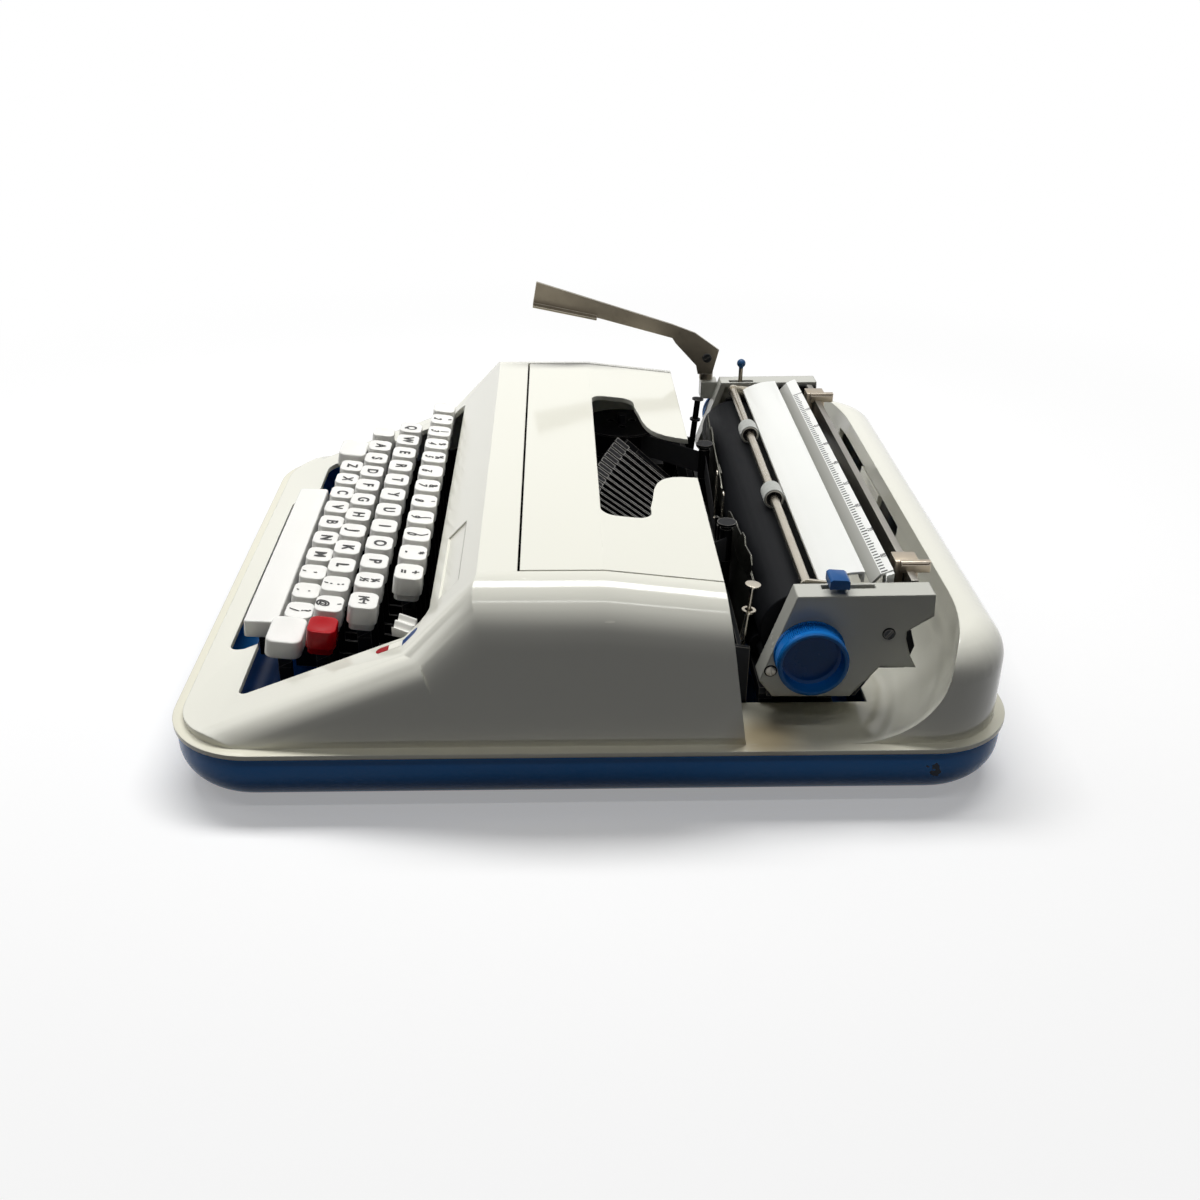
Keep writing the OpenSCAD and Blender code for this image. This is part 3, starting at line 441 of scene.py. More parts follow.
low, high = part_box("colour_selector")
middle = Vector(((low[0] + high[0]) / 2, (low[1] + high[1]) / 2, 0))
underside, skirt, top, ridge = 0.0618, 0.0635, 0.0662, 0.0012
selector = block((low[0], low[1], underside), (high[0], high[1], high[2] - ridge))
pick(selector, lambda at, way: way.z > 0.9)
bpy.ops.mesh.subdivide(number_cuts=11)
bpy.ops.object.mode_set(mode="OBJECT")
for corner in selector.data.vertices:
    if corner.co.z > top:
        deep = (corner.co.x - low[0]) / (high[0] - low[0])
        rise = ridge - 0.0022 * deep
        for start, length, hollow in ((0.1, 0.36, 0.0016), (0.58, 0.42, 0.0018)):
            if start < deep < start + length:
                rise -= hollow * math.sin(math.pi * (deep - start) / length)
        corner.co.z += rise
    if corner.co.z > skirt:
        corner.co.z -= 0.16 * (corner.co.y - middle.y)
turn = Matrix.Rotation(math.radians(-20), 4, "Z") @ Matrix.Diagonal((0.9, 0.9, 1, 1))
selector.data.transform(about(middle, turn))
pick(selector, lambda at, way: way.z < -0.9)
bpy.ops.mesh.inset(thickness=0.0034)
extrude(0, 0, low[2] - underside)
rounded(selector, 0.0007)
selector_white, tree, shader, local, tint = plastic("moulded_selector_plastic", "#efeee8",
                                                    "#e6e5de", 0.15, 30, 0.3)
parts = add(tree, "SeparateXYZ", {}, local)
stem = add(tree, "Math", {1: 0.0615}, {0: (parts, "Z")}, operation="LESS_THAN")
bare = add(tree, "Mix", {"B": linear("#4b4b4d")},
           {"Factor": (stem, 0), "A": (tint, "Result")}, data_type="RGBA")
tree.links.new(bare.outputs["Result"], shader.inputs["Base Color"])
tree.links.new(stem.outputs[0], shader.inputs["Metallic"])
fit(selector, "selector_finger_piece", selector_white, "selector", "key_white", "colour_selector",
    angle=50)

# Key caps: white plastic mouldings with soft round corners and a shallow dish, each on a
# collar that grips the top of its flat steel lever. The tabulator's cap is red.
cap_white = plastic("moulded_cap_plastic_white", "#f4f3ef", "#eeede7", 0.15, 30, 0.3)[0]
cap_red = plastic("moulded_cap_plastic_red", "#b00c17", "#a00913", 0.15, 30, 0.12)[0]
cap_high, cap_seat, key_lean, key_pitch = 0.0084, 0.0009, math.radians(-7), 0.01905
row_left = (-0.118, -0.1063, -0.1008, -0.0924)
row_back = (-0.07945, -0.09785, -0.11515, -0.13075)
row_high = (0.0749, 0.0672, 0.0586, 0.0498)
taper_x, taper_y, collar_step, cap_round = 0.00076, 0.0007, 0.001, 0.0009
lever_slope, stem_x, stem_y = 0.489, 0.00058, 0.00295
hair = 0.00001


def key_seat(row, place):
    return Vector((row_left[row] + place * key_pitch, row_back[row],
                   row_high[row] - cap_high + cap_seat))


def dish(x, y, half=0.0058, reach=0.0047, hollow=0.0005):
    return hollow * max(0, 1 - (x / half) ** 2 - (y / reach) ** 2)


def mould(wide, deep, radius, collar, *hollow):
    cap = block((-wide / 2, -deep / 2, 0), (wide / 2, deep / 2, cap_high))
    pick(cap, lambda at, way: way.z > 0.9)
    bpy.ops.transform.resize(value=(1 - taper_x / wide, 1 - taper_y / deep, 1))
    pick(cap, lambda at, way: abs(way.z) > 0.9, "EDGE")
    bpy.ops.mesh.bevel(offset=radius, segments=6, affect="EDGES")
    if collar:
        pick(cap, lambda at, way: way.z < -0.9)
        bpy.ops.mesh.inset(thickness=collar_step)
        extrude(0, 0, -collar)
    rounded(cap, cap_round, 4, 50)
    if hollow:
        pick(cap, lambda at, way: at.z > cap_high - hair and min(abs(at.x), abs(at.y)) < 10 * hair,
             "EDGE")
        bpy.ops.mesh.subdivide(number_cuts=7)
        pick(cap, lambda at, way: way.z > 0.999 and at.z > cap_high - hair)
        for ring in range(2):
            bpy.ops.mesh.inset(thickness=0.0009)
        for ring in range(5):
            extrude(0, 0, 0)
            bpy.ops.transform.resize(value=(0.62, 0.62, 1), center_override=(0, 0, cap_high))
        bpy.ops.object.mode_set(mode="OBJECT")
        for corner in cap.data.vertices:
            if corner.co.z > cap_high - hair:
                corner.co.z -= dish(corner.co.x, corner.co.y, *hollow)
    return cap


def join(group):
    alone(group[0])
    for piece in group:
        piece.select_set(True)
    if len(group) > 1:
        bpy.ops.object.join()
    return group[0]


def make_keys(node, body, cap, cap_seats, stem_seats, lean, cut_z, drop):
    # The levers are the frame's own, cut off under the caps, with a new stem up into each cap.
    levers = own(node, node + "_levers")
    bpy.ops.mesh.select_all(action="SELECT")
    bpy.ops.mesh.bisect(plane_co=(0, 0, cut_z), plane_no=(0, -lever_slope, 1), use_fill=True,
                        clear_outer=True)
    stems = [block(seat - Vector((stem_x, stem_y, drop)), seat + Vector((stem_x, stem_y, -0.001)))
             for seat in stem_seats]
    caps = [put("cap", cap.data.copy()) for seat in cap_seats]
    for copy, seat in zip(caps, cap_seats):
        copy.data.transform(Matrix.Translation(seat) @ Matrix.Rotation(lean, 4, "X"))
    fit(join(caps), node + "_caps", cap_red if body == "tab" else cap_white, body,
        "key_red" if body == "tab" else "key_white", node, angle=32)
    fit(join([levers] + stems), node + "_levers", dark_steel, body, "frame_steel", node)


cap = mould(0.0152, 0.0128, 0.0036, 0.003, 0.0058, 0.0047, 0.0005)
for node, body, row, places in (
        ("keys_row_1", "row_1", 0, range(1, 12)), ("keys_row_2", "row_2", 1, range(11)),
        ("keys_row_3", "row_3", 2, range(11)), ("key_n", "n_key", 3, (5,)),
        ("keys_row_4", "row_4", 3, (0, 1, 2, 3, 4, 6, 7, 8, 9)),
        ("backspace_key", "backspace", 0, (0,)), ("tab_key", "tab", 2, (11,)),
        ("margin_release_key", "margin_release", 1, (11,))):
    seats = [key_seat(row, place) for place in places]
    make_keys(node, body, cap, seats, seats, key_lean, 0.0995, 0.0098)
bpy.data.objects.remove(cap)

# Shift keys, lock and space bar: larger mouldings of the same white plastic. The shift keys
# are dished, the bar is flat with round edges.
for node, body, sizes, cap_at, stem_at, y, z, lean, cut_z, drop in (
        ("shift_keys", "shift", (0.0236, 0.0158, 0.0042, 0, 0.0098, 0.0062, 0.0008),
         (-0.114, 0.101), (-0.113, 0.1065), -0.13225, 0.0447, key_lean, 0.1035, 0.0075),
        ("shift_lock", "lock", (0.0138, 0.0128, 0.0034, 0.003, 0.0052, 0.0047, 0.0005),
         (-0.11985,), (-0.11985,), -0.11515, 0.0521, key_lean, 0.0995, 0.011),
        ("space_bar", "space", (0.1536, 0.0158, 0.0018, 0),
         (0,), (-0.0646, 0.0687), -0.149, 0.035, key_lean / 3, 0.1025, 0.0075)):
    cap = mould(*sizes)
    make_keys(node, body, cap, [Vector((x, y, z)) for x in cap_at],
              [Vector((x, y, z)) for x in stem_at], lean, cut_z, drop)
    bpy.data.objects.remove(cap)

# Legends: black characters printed in the dish of each cap, facing the typist. Each is
# struck four times, a little apart, for the broad stroke of the print.
key_ink = matt("printed_key_ink", "#101010", "#2a2a29", 900, 2, 0.4)[0]
strike, ink_lift, squeeze = 0.00014, 0.00012, 0.95


def letter(words, size):
    clear()
    bpy.ops.object.text_add()
    text = bpy.context.object
    text.data.body = words
    text.data.size = size
    text.data.align_x = "CENTER"
    text.data.align_y = "CENTER"
    text.data.offset = size * 0.012
    bpy.ops.object.convert(target="MESH")
    piece = bpy.context.object
    for corner in piece.data.vertices:
        corner.co.x *= squeeze
    return piece


rows = ((1, ('2"', "3/", "4$", "5%", "6_", "7&", "8'", "9(", "0)", "-*", "=+")),
        (0, ("Q", "W", "E", "R", "T", "Y", "U", "I", "O", "P", "½¼", "|←")),
        (0, ("A", "S", "D", "F", "G", "H", "J", "K", "L", ";:", "@'")),
        (0, ("Z", "X", "C", "V", "B", "N", "M", ",,", "..", "/?")))
single = {"N": "n_key", "|←": "margin_release"}
lean = Matrix.Rotation(key_lean, 4, "X")
for body, row in (("row_1", 0), ("row_2", 1), ("row_3", 2), ("row_4", 3), ("n_key", 3),
                  ("margin_release", 1)):
    group = []
    first, marks = rows[row]
    for place, mark in enumerate(marks, first):
        if single.get(mark, "row_%d" % (row + 1)) != body:
            continue
        if len(mark) == 1:
            layout = [(mark, 0.0078, 0, 0)]
        elif mark in single:
            layout = [("|", 0.0048, -0.0032, 0), (mark[1], 0.0064, -0.0003, 0),
                      ("|", 0.0034, 0.0023, 0)]
        elif row == 1:
            layout = [(mark[0], 0.0052, 0, -0.0024), (mark[1], 0.0052, 0, 0.0024)]
        else:
            layout = [(mark[1], 0.0058, 0, 0.0026), (mark[0], 0.0058, 0, -0.0026)]
        seat = key_seat(row, place)
        for words, size, right, up in layout:
            for aside, above in ((-1, -1), (1, -1), (-1, 1), (1, 1)):
                piece = letter(words, size)
                for corner in piece.data.vertices:
                    x = corner.co.x + right + strike * aside
                    y = corner.co.y + up + strike * above
                    corner.co = seat + lean @ Vector((x, y, cap_high - dish(x, y) + ink_lift))
                group.append(piece)
    fit(join(group), "legend_" + body, key_ink, body, "black_rubber")

# Colour marks: a strip of paint on the cheek beside the selector, red and blue for the two
# halves of the ribbon and bare between them for none.
mark_paint, tree, shader, local, tint = plastic("painted_marks", "#f0efe6", "#e8e6d8",
                                                0.25, 40, 0.15)
parts = add(tree, "SeparateXYZ", {}, local)
red_to, blue_from = -0.0835, -0.0778
red_end = add(tree, "Math", {1: red_to}, {0: (parts, "Y")}, operation="LESS_THAN")
blue_end = add(tree, "Math", {1: blue_from}, {0: (parts, "Y")}, operation="GREATER_THAN")
reds = add(tree, "Mix", {"B": linear("#98101a")},
           {"Factor": (red_end, 0), "A": (tint, "Result")}, data_type="RGBA")
blues = add(tree, "Mix", {"B": linear("#12407f")},
            {"Factor": (blue_end, 0), "A": (reds, "Result")}, data_type="RGBA")
tree.links.new(blues.outputs["Result"], shader.inputs["Base Color"])
mark_x, mark_y, straight, round_end = 0.1327, -0.0801, 0.0068, 0.00195
clear()
bpy.ops.mesh.primitive_grid_add(x_subdivisions=10, y_subdivisions=46, size=1,
                                location=(mark_x, mark_y, 0.085))
marks = bpy.context.object
marks.scale = (0.0042, 0.0174, 1)
bpy.ops.object.transform_apply()
for corner in marks.data.vertices:
    over = abs(corner.co.y - mark_y) - straight
    if over > 0:
        narrow = math.sqrt(max(0.02, 1 - (over / round_end) ** 2))
        corner.co.x = mark_x + (corner.co.x - mark_x) * narrow
wrap = marks.modifiers.new("wrap", "SHRINKWRAP")
wrap.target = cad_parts["body_shell"]
wrap.wrap_method = "PROJECT"
wrap.use_project_z = True
wrap.use_negative_direction = True
wrap.use_positive_direction = False
wrap.offset = 0.00008
bpy.ops.object.modifier_apply(modifier="wrap")
fit(marks, "colour_marks", mark_paint, "chassis", "key_red")

# Type basket: a cast segment with a slot for each bar, a rest for the bars to lie on,
# and forged bars; the edges of the bars and of the blackened parts carry a painted highlight.
type_steel = metal("forged_type_steel", "#39393a", "#232324", 0.36, "#d9d7d0")
black_steel = metal("blackened_steel", "#1f1f21", "#131315", 0.5, "#8f8d88")
dress(type_steel, "type_bars", "type_bar_n", "type_guide", "ribbon_vibrator")
dress(black_steel, "type_segment", "type_rest", "ribbon_posts")

# Ribbon: a strip of inked cotton, dull black with threads 0.2 mm apart, between two blackened
# spools, round the posts and through the vibrator. Headed steel pins keep it in place.
inked, tree, shader, local = finish("inked_cotton")
weft = add(tree, "TexWave", {"Scale": 1400, "Distortion": 0.4}, local, bands_direction="Z")
tint = add(tree, "Mix", {"A": linear("#0c0c0e"), "B": linear("#1d1d20")},
           {"Factor": (weft, "Fac")}, data_type="RGBA")
tree.links.new(tint.outputs["Result"], shader.inputs["Base Color"])
bump = add(tree, "Bump", {"Strength": 0.2, "Distance": 0.0001}, {"Height": (weft, "Fac")})
tree.links.new(bump.outputs[0], shader.inputs["Normal"])
shader.inputs["Roughness"].default_value = 0.8
dress(inked, "ribbon")
dress(black_steel, "spool_left", "spool_right")
nickel = metal("nickel_plated_steel", "#cbc4b6", "#a79f90", 0.24, streak=(1, 8, 8))
# The pale edge colour of the smoked steel is a painted highlight on the card plates and fingers.
smoked = metal("smoked_spring_steel", "#4a4a43", "#2f2f2b", 0.4, "#b5b3a8")
dress(smoked, "card_plates")


def rod(start, length, radius, sides, way="Z"):
    turn = {"X": (0, math.pi / 2, 0), "Y": (-math.pi / 2, 0, 0), "Z": (0, 0, 0)}[way]
    half = Vector((way == "X", way == "Y", way == "Z")) * length / 2
    clear()
    bpy.ops.mesh.primitive_cylinder_add(vertices=sides, radius=radius, depth=length,
                                        rotation=turn, location=Vector(start) + half)
    bpy.ops.object.transform_apply()
    return bpy.context.object


def washer(start, length, radius, wall, way="Z"):
    piece = rod(start, length, radius, 40, way)
    pick(piece, lambda at, face: abs(face["XYZ".index(way)]) > 0.9)
    bpy.ops.mesh.inset(thickness=wall, use_individual=True)
    bpy.ops.mesh.bridge_edge_loops()
    return piece


pin_foot, pin_head = 0.0465, 0.0033
# The left pin is blackened steel where the right one is nickel: painted shade on the far pin.
for side, hand, thick, steel in ((-1, "left", 0.0017, black_steel), (1, "right", 0.00088, nickel)):
    pin = rod((0, 0, pin_foot), 0.0343, thick, 24)
    pick(pin, lambda at, way: way.z > 0.9)
    extrude(0, 0, 0.0002)
    bpy.ops.transform.resize(value=(pin_head / thick, pin_head / thick, 1))
    extrude(0, 0, 0.0006)
    bpy.ops.mesh.inset(thickness=0.0007, depth=0.0002)
    join([pin, washer((0, 0, 0.0686), 0.001, 0.003, 0.0012)])
    pin.data.transform(Matrix.Translation((side * 0.1165, 0.0636, 0))
                       @ about((0, 0, pin_foot), Matrix.Rotation(math.radians(-5), 4, "X")))
    fit(pin, "ribbon_pin_" + hand, steel, "chassis", "nickel", "ribbon_pins")

# Card fingers and guide loops: two thin steel wings that steer a card round the platen, and
# bent wire loops between them that keep the ribbon up.
wing = ((14, 58), (14, 69), (20, 71.5), (60, 77.5), (62, 80), (70, 81.5), (73, 78.6), (90, 82),
        (94, 79), (89, 71), (60, 62))
loop_z = 0.066
for side, hand in ((-1, "left"), (1, "right")):
    finger = slab([(side * x / 1000, 0.0697, z / 1000) for x, z in wing], 0, -0.0006, 0)
    rounded(finger, 0.00015, 2)
    fit(finger, "card_finger_" + hand, smoked, "chassis", "frame_steel")
    clear()
    bpy.ops.mesh.primitive_torus_add(major_segments=28, minor_segments=10, major_radius=0.0018,
                                     minor_radius=0.0004, rotation=(math.pi / 2, 0, 0),
                                     location=(side * 0.0135, 0.0664, loop_z))
    bpy.ops.object.transform_apply()
    loop = bpy.context.object
    pick(loop, lambda at, way: at.z > loop_z, "VERT")
    bpy.ops.transform.translate(value=(0, 0, 0.011))
    pick(loop, lambda at, way: at.z < loop_z - 0.0005, "VERT")
    bpy.ops.transform.translate(value=(0, 0, -0.012))
    fit(loop, "guide_loop_" + hand, nickel, "chassis", "nickel")

# Carriage drive: a turned brass spring drum and escape wheel under the carriage, the plated
# rack that the wheel holds, and the platen's ratchet wheel and shaft.
brass = metal("turned_brass", "#c9a355", "#a07d39", 0.3)
dress(brass, "spring_drum", "escape_wheel", width=0.0002)
dress(screw_steel, "toothed_rack", "ratchet_wheel", "platen_shaft")

# End plates: pale grey moulded covers that close both ends of the carriage, each held by
# two slotted screws in dark wells.
plate_grey = plastic("moulded_abs_grey", "#c4c4bb", "#bbbbb2", 0.22, 12, 0.3, (0.0014, 8))[0]
dress(plate_grey, "end_plate_left", "end_plate_right")
worn_steel = metal("worn_screw_steel", "#8d8a82", "#6f6c66", 0.4)
well_black = metal("shadowed_screw_well", "#1a1a1a", "#0e0e0e", 0.6)


def slotted(start, length, radius, rim, dome, slot, turn):
    x, y, z = start
    screw = rod(start, length, radius, 40, "X")
    pick(screw, lambda at, way: way.x > 0.9)
    bpy.ops.mesh.inset(thickness=rim, depth=dome)
    tool = block((x + length - dome, y - 2 * radius, z - slot),
                 (x + 2 * length, y + 2 * radius, z + slot))
    tool.data.transform(about((0, y, z), Matrix.Rotation(math.radians(turn), 4, "X")))
    cut(screw, tool)
    return screw


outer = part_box("end_plate_right")[1][0]
for side, hand in ((-1, "left"), (1, "right")):
    for number, y, z, turn, steel in (("1", 0.0726, 0.0529, 94, worn_steel),
                                      ("2", 0.1196, 0.07, 52, dark_steel)):
        tag = hand + "_" + number
        screw = slotted((outer, y, z), 0.0006, 0.00215, 0.0004, 0.0002, 0.0003, turn)
        well = washer((outer, y, z), 0.00012, 0.0027, 0.0005, "X")
        clear()
        for piece, name, material, slot in (
                (screw, "plate_screw_" + tag, steel, "bright_steel"),
                (well, "plate_screw_well_" + tag, well_black, "black_steel")):
            if side < 0:
                piece.data.transform(Matrix.Diagonal((-1, 1, 1, 1)))
                piece.data.flip_normals()
            fit(piece, name, material, "carriage", slot, "plate_screws")

# Notch shade block: a blackened steel tongue behind the right end plate, riding on the carriage,
# put there as painted shade that shows dark through the notch of the plate.
notch_shade_block = block((0.125, 0.118, 0.047), (0.1276, 0.1345, 0.066))
for way in ((0, 0.956, 0.294), (0, 0.964, -0.268)):
    whole(notch_shade_block)
    bpy.ops.mesh.bisect(plane_co=(0, 0.1345, 0.0575), plane_no=way, use_fill=True,
                        clear_outer=True)
rounded(notch_shade_block, 0.0004, 2)
fit(notch_shade_block, "notch_shade_block_right", black_steel, "carriage", "black_steel")

# Platen: a steel tube under ground black rubber, with faint marks along it from years
# of typing. The rubber gives a dull, slightly uneven sheen.
ground, tree, shader, local = finish("ground_platen_rubber")
along = add(tree, "Mapping", {"Scale": (0.15, 1, 1)}, local)
grind = add(tree, "TexNoise", {"Scale": 420, "Detail": 5}, {"Vector": (along, 0)})
tint = add(tree, "Mix", {"A": linear("#0a0b0d"), "B": linear("#141518")},
           {"Factor": (grind, "Fac")}, data_type="RGBA")
tree.links.new(tint.outputs["Result"], shader.inputs["Base Color"])
gloss = add(tree, "MapRange", {"To Min": 0.5, "To Max": 0.68}, {"Value": (grind, "Fac")})
tree.links.new(gloss.outputs[0], shader.inputs["Roughness"])
bump = add(tree, "Bump", {"Strength": 0.08, "Distance": 0.0002}, {"Height": (grind, "Fac")})
tree.links.new(bump.outputs[0], shader.inputs["Normal"])
shader.inputs["Specular IOR Level"].default_value = 0.08
dress(ground, "platen", "feed_roller_front", "feed_roller_rear", width=0.0006)

# Bail and rail: a nickel-plated rod on two arms that holds the sheet down, and the flat
# brushed bar that the margin stops slide on.
rail_steel = metal("brushed_rail_steel", "#98958d", "#7e7b75", 0.34, streak=(1, 8, 8))
dress(nickel, "paper_bail", width=0.0003)
dress(rail_steel, "margin_rail", width=0.0003)
bail_y, bail_z = 0.0876, 0.08415
sleeve = rod((-0.1225, bail_y, bail_z), 0.245, 0.00215, 48, "X")
pick(sleeve, lambda at, way: abs(way.x) > 0.9)
bpy.ops.mesh.inset(thickness=0.0004, depth=0.0004, use_individual=True)
fit(sleeve, "bail_rod_sleeve", nickel, "bail", "nickel")

# Bail rollers: grey rubber tyres with a fine knurl on pressed cups, bright at the lip, and
# within the lip painted near black as painted shade in the recess.
roller_grey, tree, shader, local, tint = matt("moulded_rubber_grey", "#a3a5a0", "#b9bbb6",
                                              800, 3, 0.55)
cup_radius, hole_radius = 0.0042, 0.0037
axis = add(tree, "Mapping", {"Location": (0, -bail_y, -bail_z), "Scale": (0, 1, 1)}, local)
reach = add(tree, "VectorMath", {}, {0: (axis, 0)}, operation="LENGTH")
cup = add(tree, "Math", {1: cup_radius}, {0: (reach, "Value")}, operation="LESS_THAN")
hole = add(tree, "Math", {1: hole_radius}, {0: (reach, "Value")}, operation="LESS_THAN")
lip = add(tree, "Mix", {"B": linear("#d6d3ca")},
          {"Factor": (cup, 0), "A": (tint, "Result")}, data_type="RGBA")
# Inside the lip the recess is painted near black: painted shade.
dark = add(tree, "Mix", {"B": linear("#1b1b1b")},
           {"Factor": (hole, 0), "A": (lip, "Result")}, data_type="RGBA")
tree.links.new(dark.outputs["Result"], shader.inputs["Base Color"])


def knurl(piece, y, z, start, end, within, ridges, depth):
    # Of the points round the axis, every second one is drawn in.
    pick(piece, lambda at, way: start < at.x < end and math.hypot(at.y - y, at.z - z) > within
         and round(math.atan2(at.z - z, at.y - y) * ridges / math.pi) % 2, "VERT")
    bpy.ops.transform.resize(value=(1, depth, depth), center_override=(0, y, z))


for name, body in (("bail_roller_left", "bail_wheel_l"), ("bail_roller_right", "bail_wheel_r")):
    low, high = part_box(name)
    tyre = rod((low[0], bail_y, bail_z), high[0] - low[0], 0.00485, 128, "X")
    pick(tyre, lambda at, way: abs(way.x) > 0.9)
    for thick, depth in ((0.0006, 0), (0.0003, 0.0002), (0.0003, -0.0002), (0.0013, -0.0016)):
        bpy.ops.mesh.inset(thickness=thick, depth=depth, use_individual=True)
    bpy.ops.mesh.bridge_edge_loops()
    knurl(tyre, bail_y, bail_z, low[0] - hair, high[0] + hair, 0.0047, 64, 0.968)
    fit(tyre, name + "_tyre", roller_grey, body, "grey_rubber", name, angle=20)

# Margin stops: clips of beige-plated sheet that slide on the rail, each with a finger
# flange at the near end whose top edge is curled over; their edges carry a painted highlight.
clip_steel = metal("satin_plated_sheet", "#b3a796", "#9d917f", 0.36, "#efece4")
curl = 0.0022
for name, body in (("margin_stop_left", "stop_l"), ("margin_stop_right", "stop_r")):
    low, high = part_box(name)
    clip = block((low[0], low[1] + 0.0008, low[2]),
                 (high[0] - 0.0026, high[1] - 0.0042, high[2] - 0.0008))
    cut(clip, block((low[0] - 0.01, 0.1299, 0.074), (high[0] + 0.01, 0.1337, 0.0873)))
    rounded(clip, 0.0005, 2)
    flange = block((high[0] - 0.0026, low[1] + 0.0026, high[2] - 0.0052),
                   (high[0] - 0.0002, high[1], high[2]))
    whole(flange)
    bpy.ops.mesh.bisect(plane_co=(0, 0, high[2] - curl), plane_no=(0, 0, 1))
    pick(flange, lambda at, way: way.x > 0.9 and at.z > high[2] - curl)
    bpy.ops.mesh.inset(thickness=0.0006)
    extrude(-0.0013, 0, 0)
    rounded(flange, 0.0004, 2)
    fit(join([clip, flange]), name + "_clip", clip_steel, body, "nickel", name)

# Return lever: pressed from plated sheet, with a slotted pivot screw at its foot. The real
# lever's upper edge is folded back for stiffness; that fold is not added here.
# The pale edge colour is a painted highlight along the lever's edges, on worn nickel.
lever_nickel = metal("worn_nickel_with_painted_glint", "#8a8274", "#6b6357", 0.3, "#e9e5da")
dress(lever_nickel, "return_lever")
pivot = slotted((-0.1403, 0.0736, 0.0981), 0.0008, 0.0027, 0.0005, 0.0003, 0.00035, 25)
fit(pivot, "return_lever_screw", dark_steel, "returner", "bright_steel")

# Line space lever and paper release: a steel stalk with a moulded blue ball, and a flat
# blue tab on its own lever.
bright_blue = plastic("moulded_abs_bright_blue", "#0c5290", "#0b4a84", 0.3, 40, 0.15)[0]
dark_blue = plastic("moulded_dark_blue", "#0f4876", "#0c3c66", 0.3, 60, 0.25)[0]
dress(bright_blue, "paper_release", width=0.0005)
stalk_x, stalk_y, ball_z = -0.1307, 0.0925, 0.0978
stalk = rod((stalk_x, stalk_y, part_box("line_space_lever")[0][2]), 0.0302, 0.0012, 24)
pick(stalk, lambda at, way: way.z < -0.9)
extrude(0, 0, -0.0002)
fit(stalk, "line_space_stalk", lever_nickel, "line_space", "nickel", "line_space_lever")
clear()
bpy.ops.mesh.primitive_uv_sphere_add(segments=32, ring_count=18, radius=0.0025,
                                     location=(stalk_x, stalk_y, ball_z))
bpy.ops.object.transform_apply()
ball = bpy.context.object
pick(ball, lambda at, way: at.z < ball_z - 0.0021)
extrude(0, 0, -0.0007)
fit(ball, "line_space_ball", dark_blue, "line_space", "bright_blue", "line_space_lever")

# Paper table and scale: sheet steel stoved white, the scale bent up behind the table
# and printed in characters to the line.
enamel = plastic("stoved_white_enamel", "#f0f1ed", "#e8e9e4", 0.28, 14)[0]
dress(enamel, "paper_table", width=0.0002)
scale_white, tree, shader, local, tint = plastic("stoved_scale_enamel", "#f0f1ed", "#e8e9e4",
                                                 0.28, 14)
# The scale's front slope, low and forward, is painted grey: painted shade in the gutter behind the
# table.
parts = add(tree, "SeparateXYZ", {}, local)
below = add(tree, "Math", {1: 0.0888}, {0: (parts, "Z")}, operation="LESS_THAN")
front = add(tree, "Math", {1: 0.1181}, {0: (parts, "Y")}, operation="LESS_THAN")
front = add(tree, "Math", {}, {0: (below, 0), 1: (front, 0)}, operation="MULTIPLY")
slope_shaded = add(tree, "Mix", {"B": linear("#a9a9a3")},
             {"Factor": (front, 0), "A": (tint, "Result")}, data_type="RGBA")
tree.links.new(slope_shaded.outputs["Result"], shader.inputs["Base Color"])
dress(scale_white, "paper_scale", width=0.0002)

scale_ink = matt("printed_scale_ink", "#141516", "#2a2c2e", 700, 2, 0.45)[0]
scale_lean = math.atan2(0.0019, 0.005)
char_pitch, scale_zero, print_lift = 0.002595, -0.0993, 0.00006
group = []
for count, step, long in ((86, char_pitch, 0.0022), (18, 5 * char_pitch, 0.0027)):
    clear()
    bpy.ops.mesh.primitive_plane_add(size=1, location=(scale_zero, 0.0003 + long / 2, print_lift))
    tick = bpy.context.object
    tick.scale = (0.0009, long, 1)
    bpy.ops.object.transform_apply()
    repeat = tick.modifiers.new("repeat", "ARRAY")
    repeat.count = count
    repeat.use_relative_offset = False
    repeat.use_constant_offset = True
    repeat.constant_offset_displace = (step, 0, 0)
    bpy.ops.object.modifier_apply(modifier="repeat")
    group.append(tick)
for count in range(0, 90, 10):
    numeral = letter(str(count), 0.0033)
    right = scale_zero + count * char_pitch
    numeral.data.transform(Matrix.Translation((right, 0.0041, print_lift)))
    group.append(numeral)
printed = join(group)
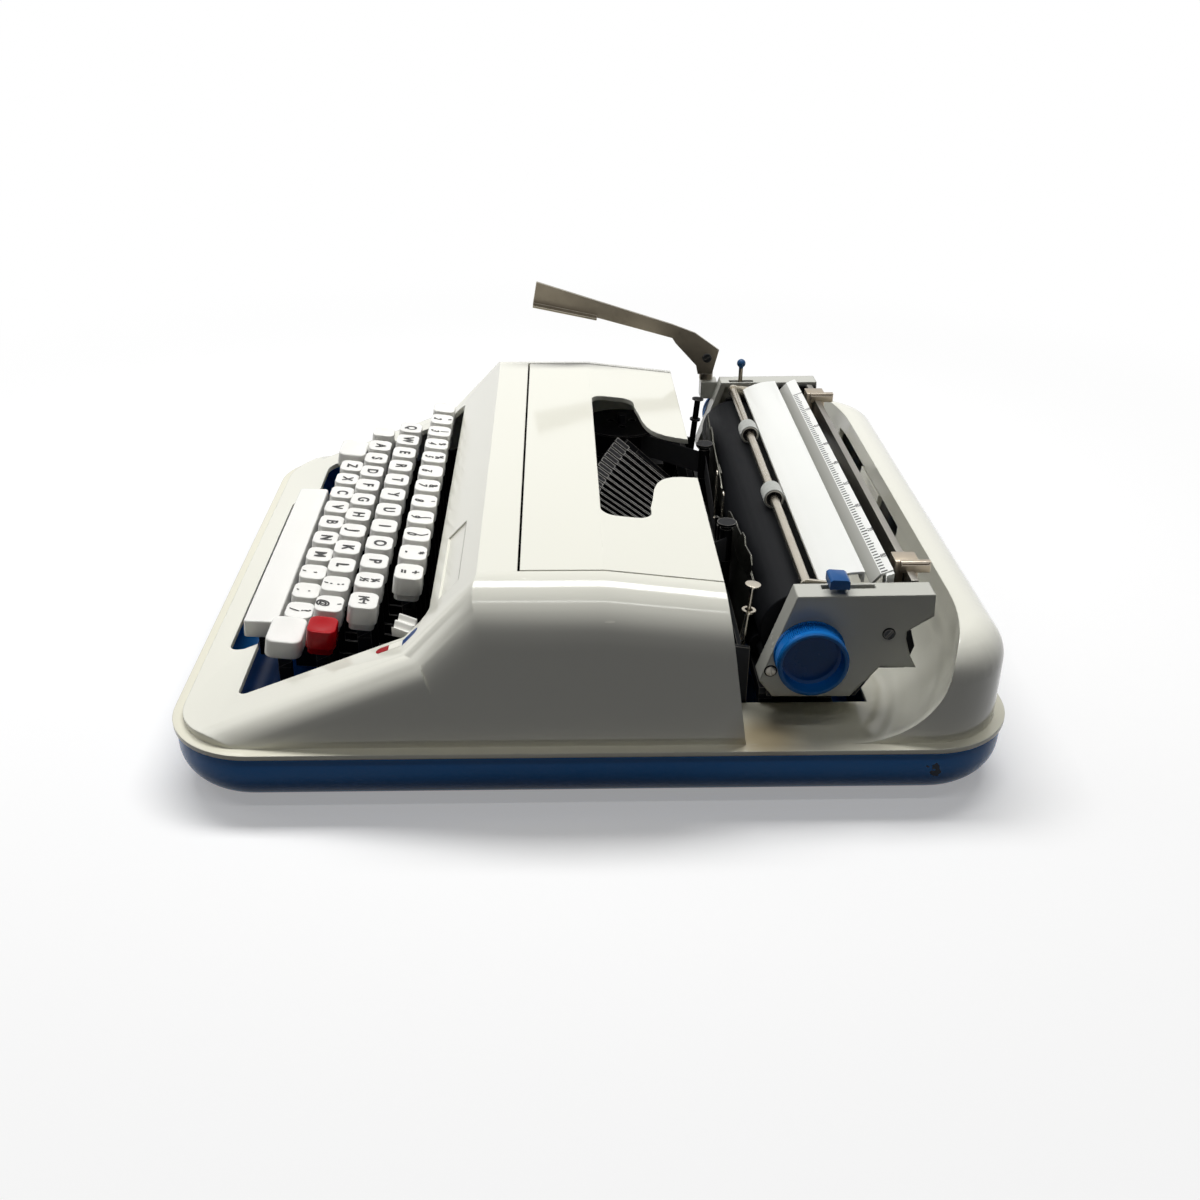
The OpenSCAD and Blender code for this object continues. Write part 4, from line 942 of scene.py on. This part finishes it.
printed.data.transform(Matrix.Translation((0, 0.118, 0.0889))
                       @ Matrix.Rotation(scale_lean, 4, "X"))
fit(printed, "scale_marks", scale_ink, "carriage", "black_rubber")

# Platen knobs: hollow blue mouldings pressed on the ends of the shaft, with a fine knurl
# round the back, a smooth rim and a deep dish.
low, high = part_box("knob_right")
knob_y, knob_z = (low[1] + high[1]) / 2, (low[2] + high[2]) / 2
knob_radius, dish_radius = 0.0147, 0.0121
knob = rod((low[0], knob_y, knob_z), 0.0012, knob_radius, 208, "X")
pick(knob, lambda at, way: way.x > 0.9)
bpy.ops.mesh.inset(thickness=0.0004)
extrude(0.0062, 0, 0)
extrude(0.0002, 0, 0)
bpy.ops.transform.resize(value=(1, 1.012, 1.012), center_override=(0, knob_y, knob_z))
extrude(0.0022, 0, 0)
for thick, depth in ((0.0005, 0.0006), (0.0007, 0.0002), (0.0006, -0.0003), (0.0005, -0.0058),
                     (0.0012, -0.0008), (0.006, -0.0002)):
    bpy.ops.mesh.inset(thickness=thick, depth=depth)
knurl(knob, knob_y, knob_z, low[0] + 0.001, low[0] + 0.0075, 0.0138, 104, 0.958)
clear()
other = put("knob", knob.data.copy())
other.data.transform(Matrix.Translation((0, 2 * knob_y, 0)) @ Matrix.Diagonal((-1, -1, 1, 1)))
knob_blue, tree, shader, local, tint = plastic("moulded_knob_blue", "#136cb8", "#1062aa",
                                               0.24, 60, 0.14)
# The dish, within 12.1 mm of the axis, is painted a darker blue: painted shade in the hollow.
axis = add(tree, "Mapping", {"Location": (0, -knob_y, -knob_z), "Scale": (0, 1, 1)}, local)
reach = add(tree, "VectorMath", {}, {0: (axis, 0)}, operation="LENGTH")
inside = add(tree, "Math", {1: dish_radius}, {0: (reach, "Value")}, operation="LESS_THAN")
deep = add(tree, "Mix", {"B": linear("#0c4f8a")},
           {"Factor": (inside, 0), "A": (tint, "Result")}, data_type="RGBA")
tree.links.new(deep.outputs["Result"], shader.inputs["Base Color"])
fit(knob, "platen_knob_right", knob_blue, "platen_unit", "bright_blue", "knob_right", angle=24)
fit(other, "platen_knob_left", knob_blue, "platen_unit", "bright_blue", "knob_left", angle=24)
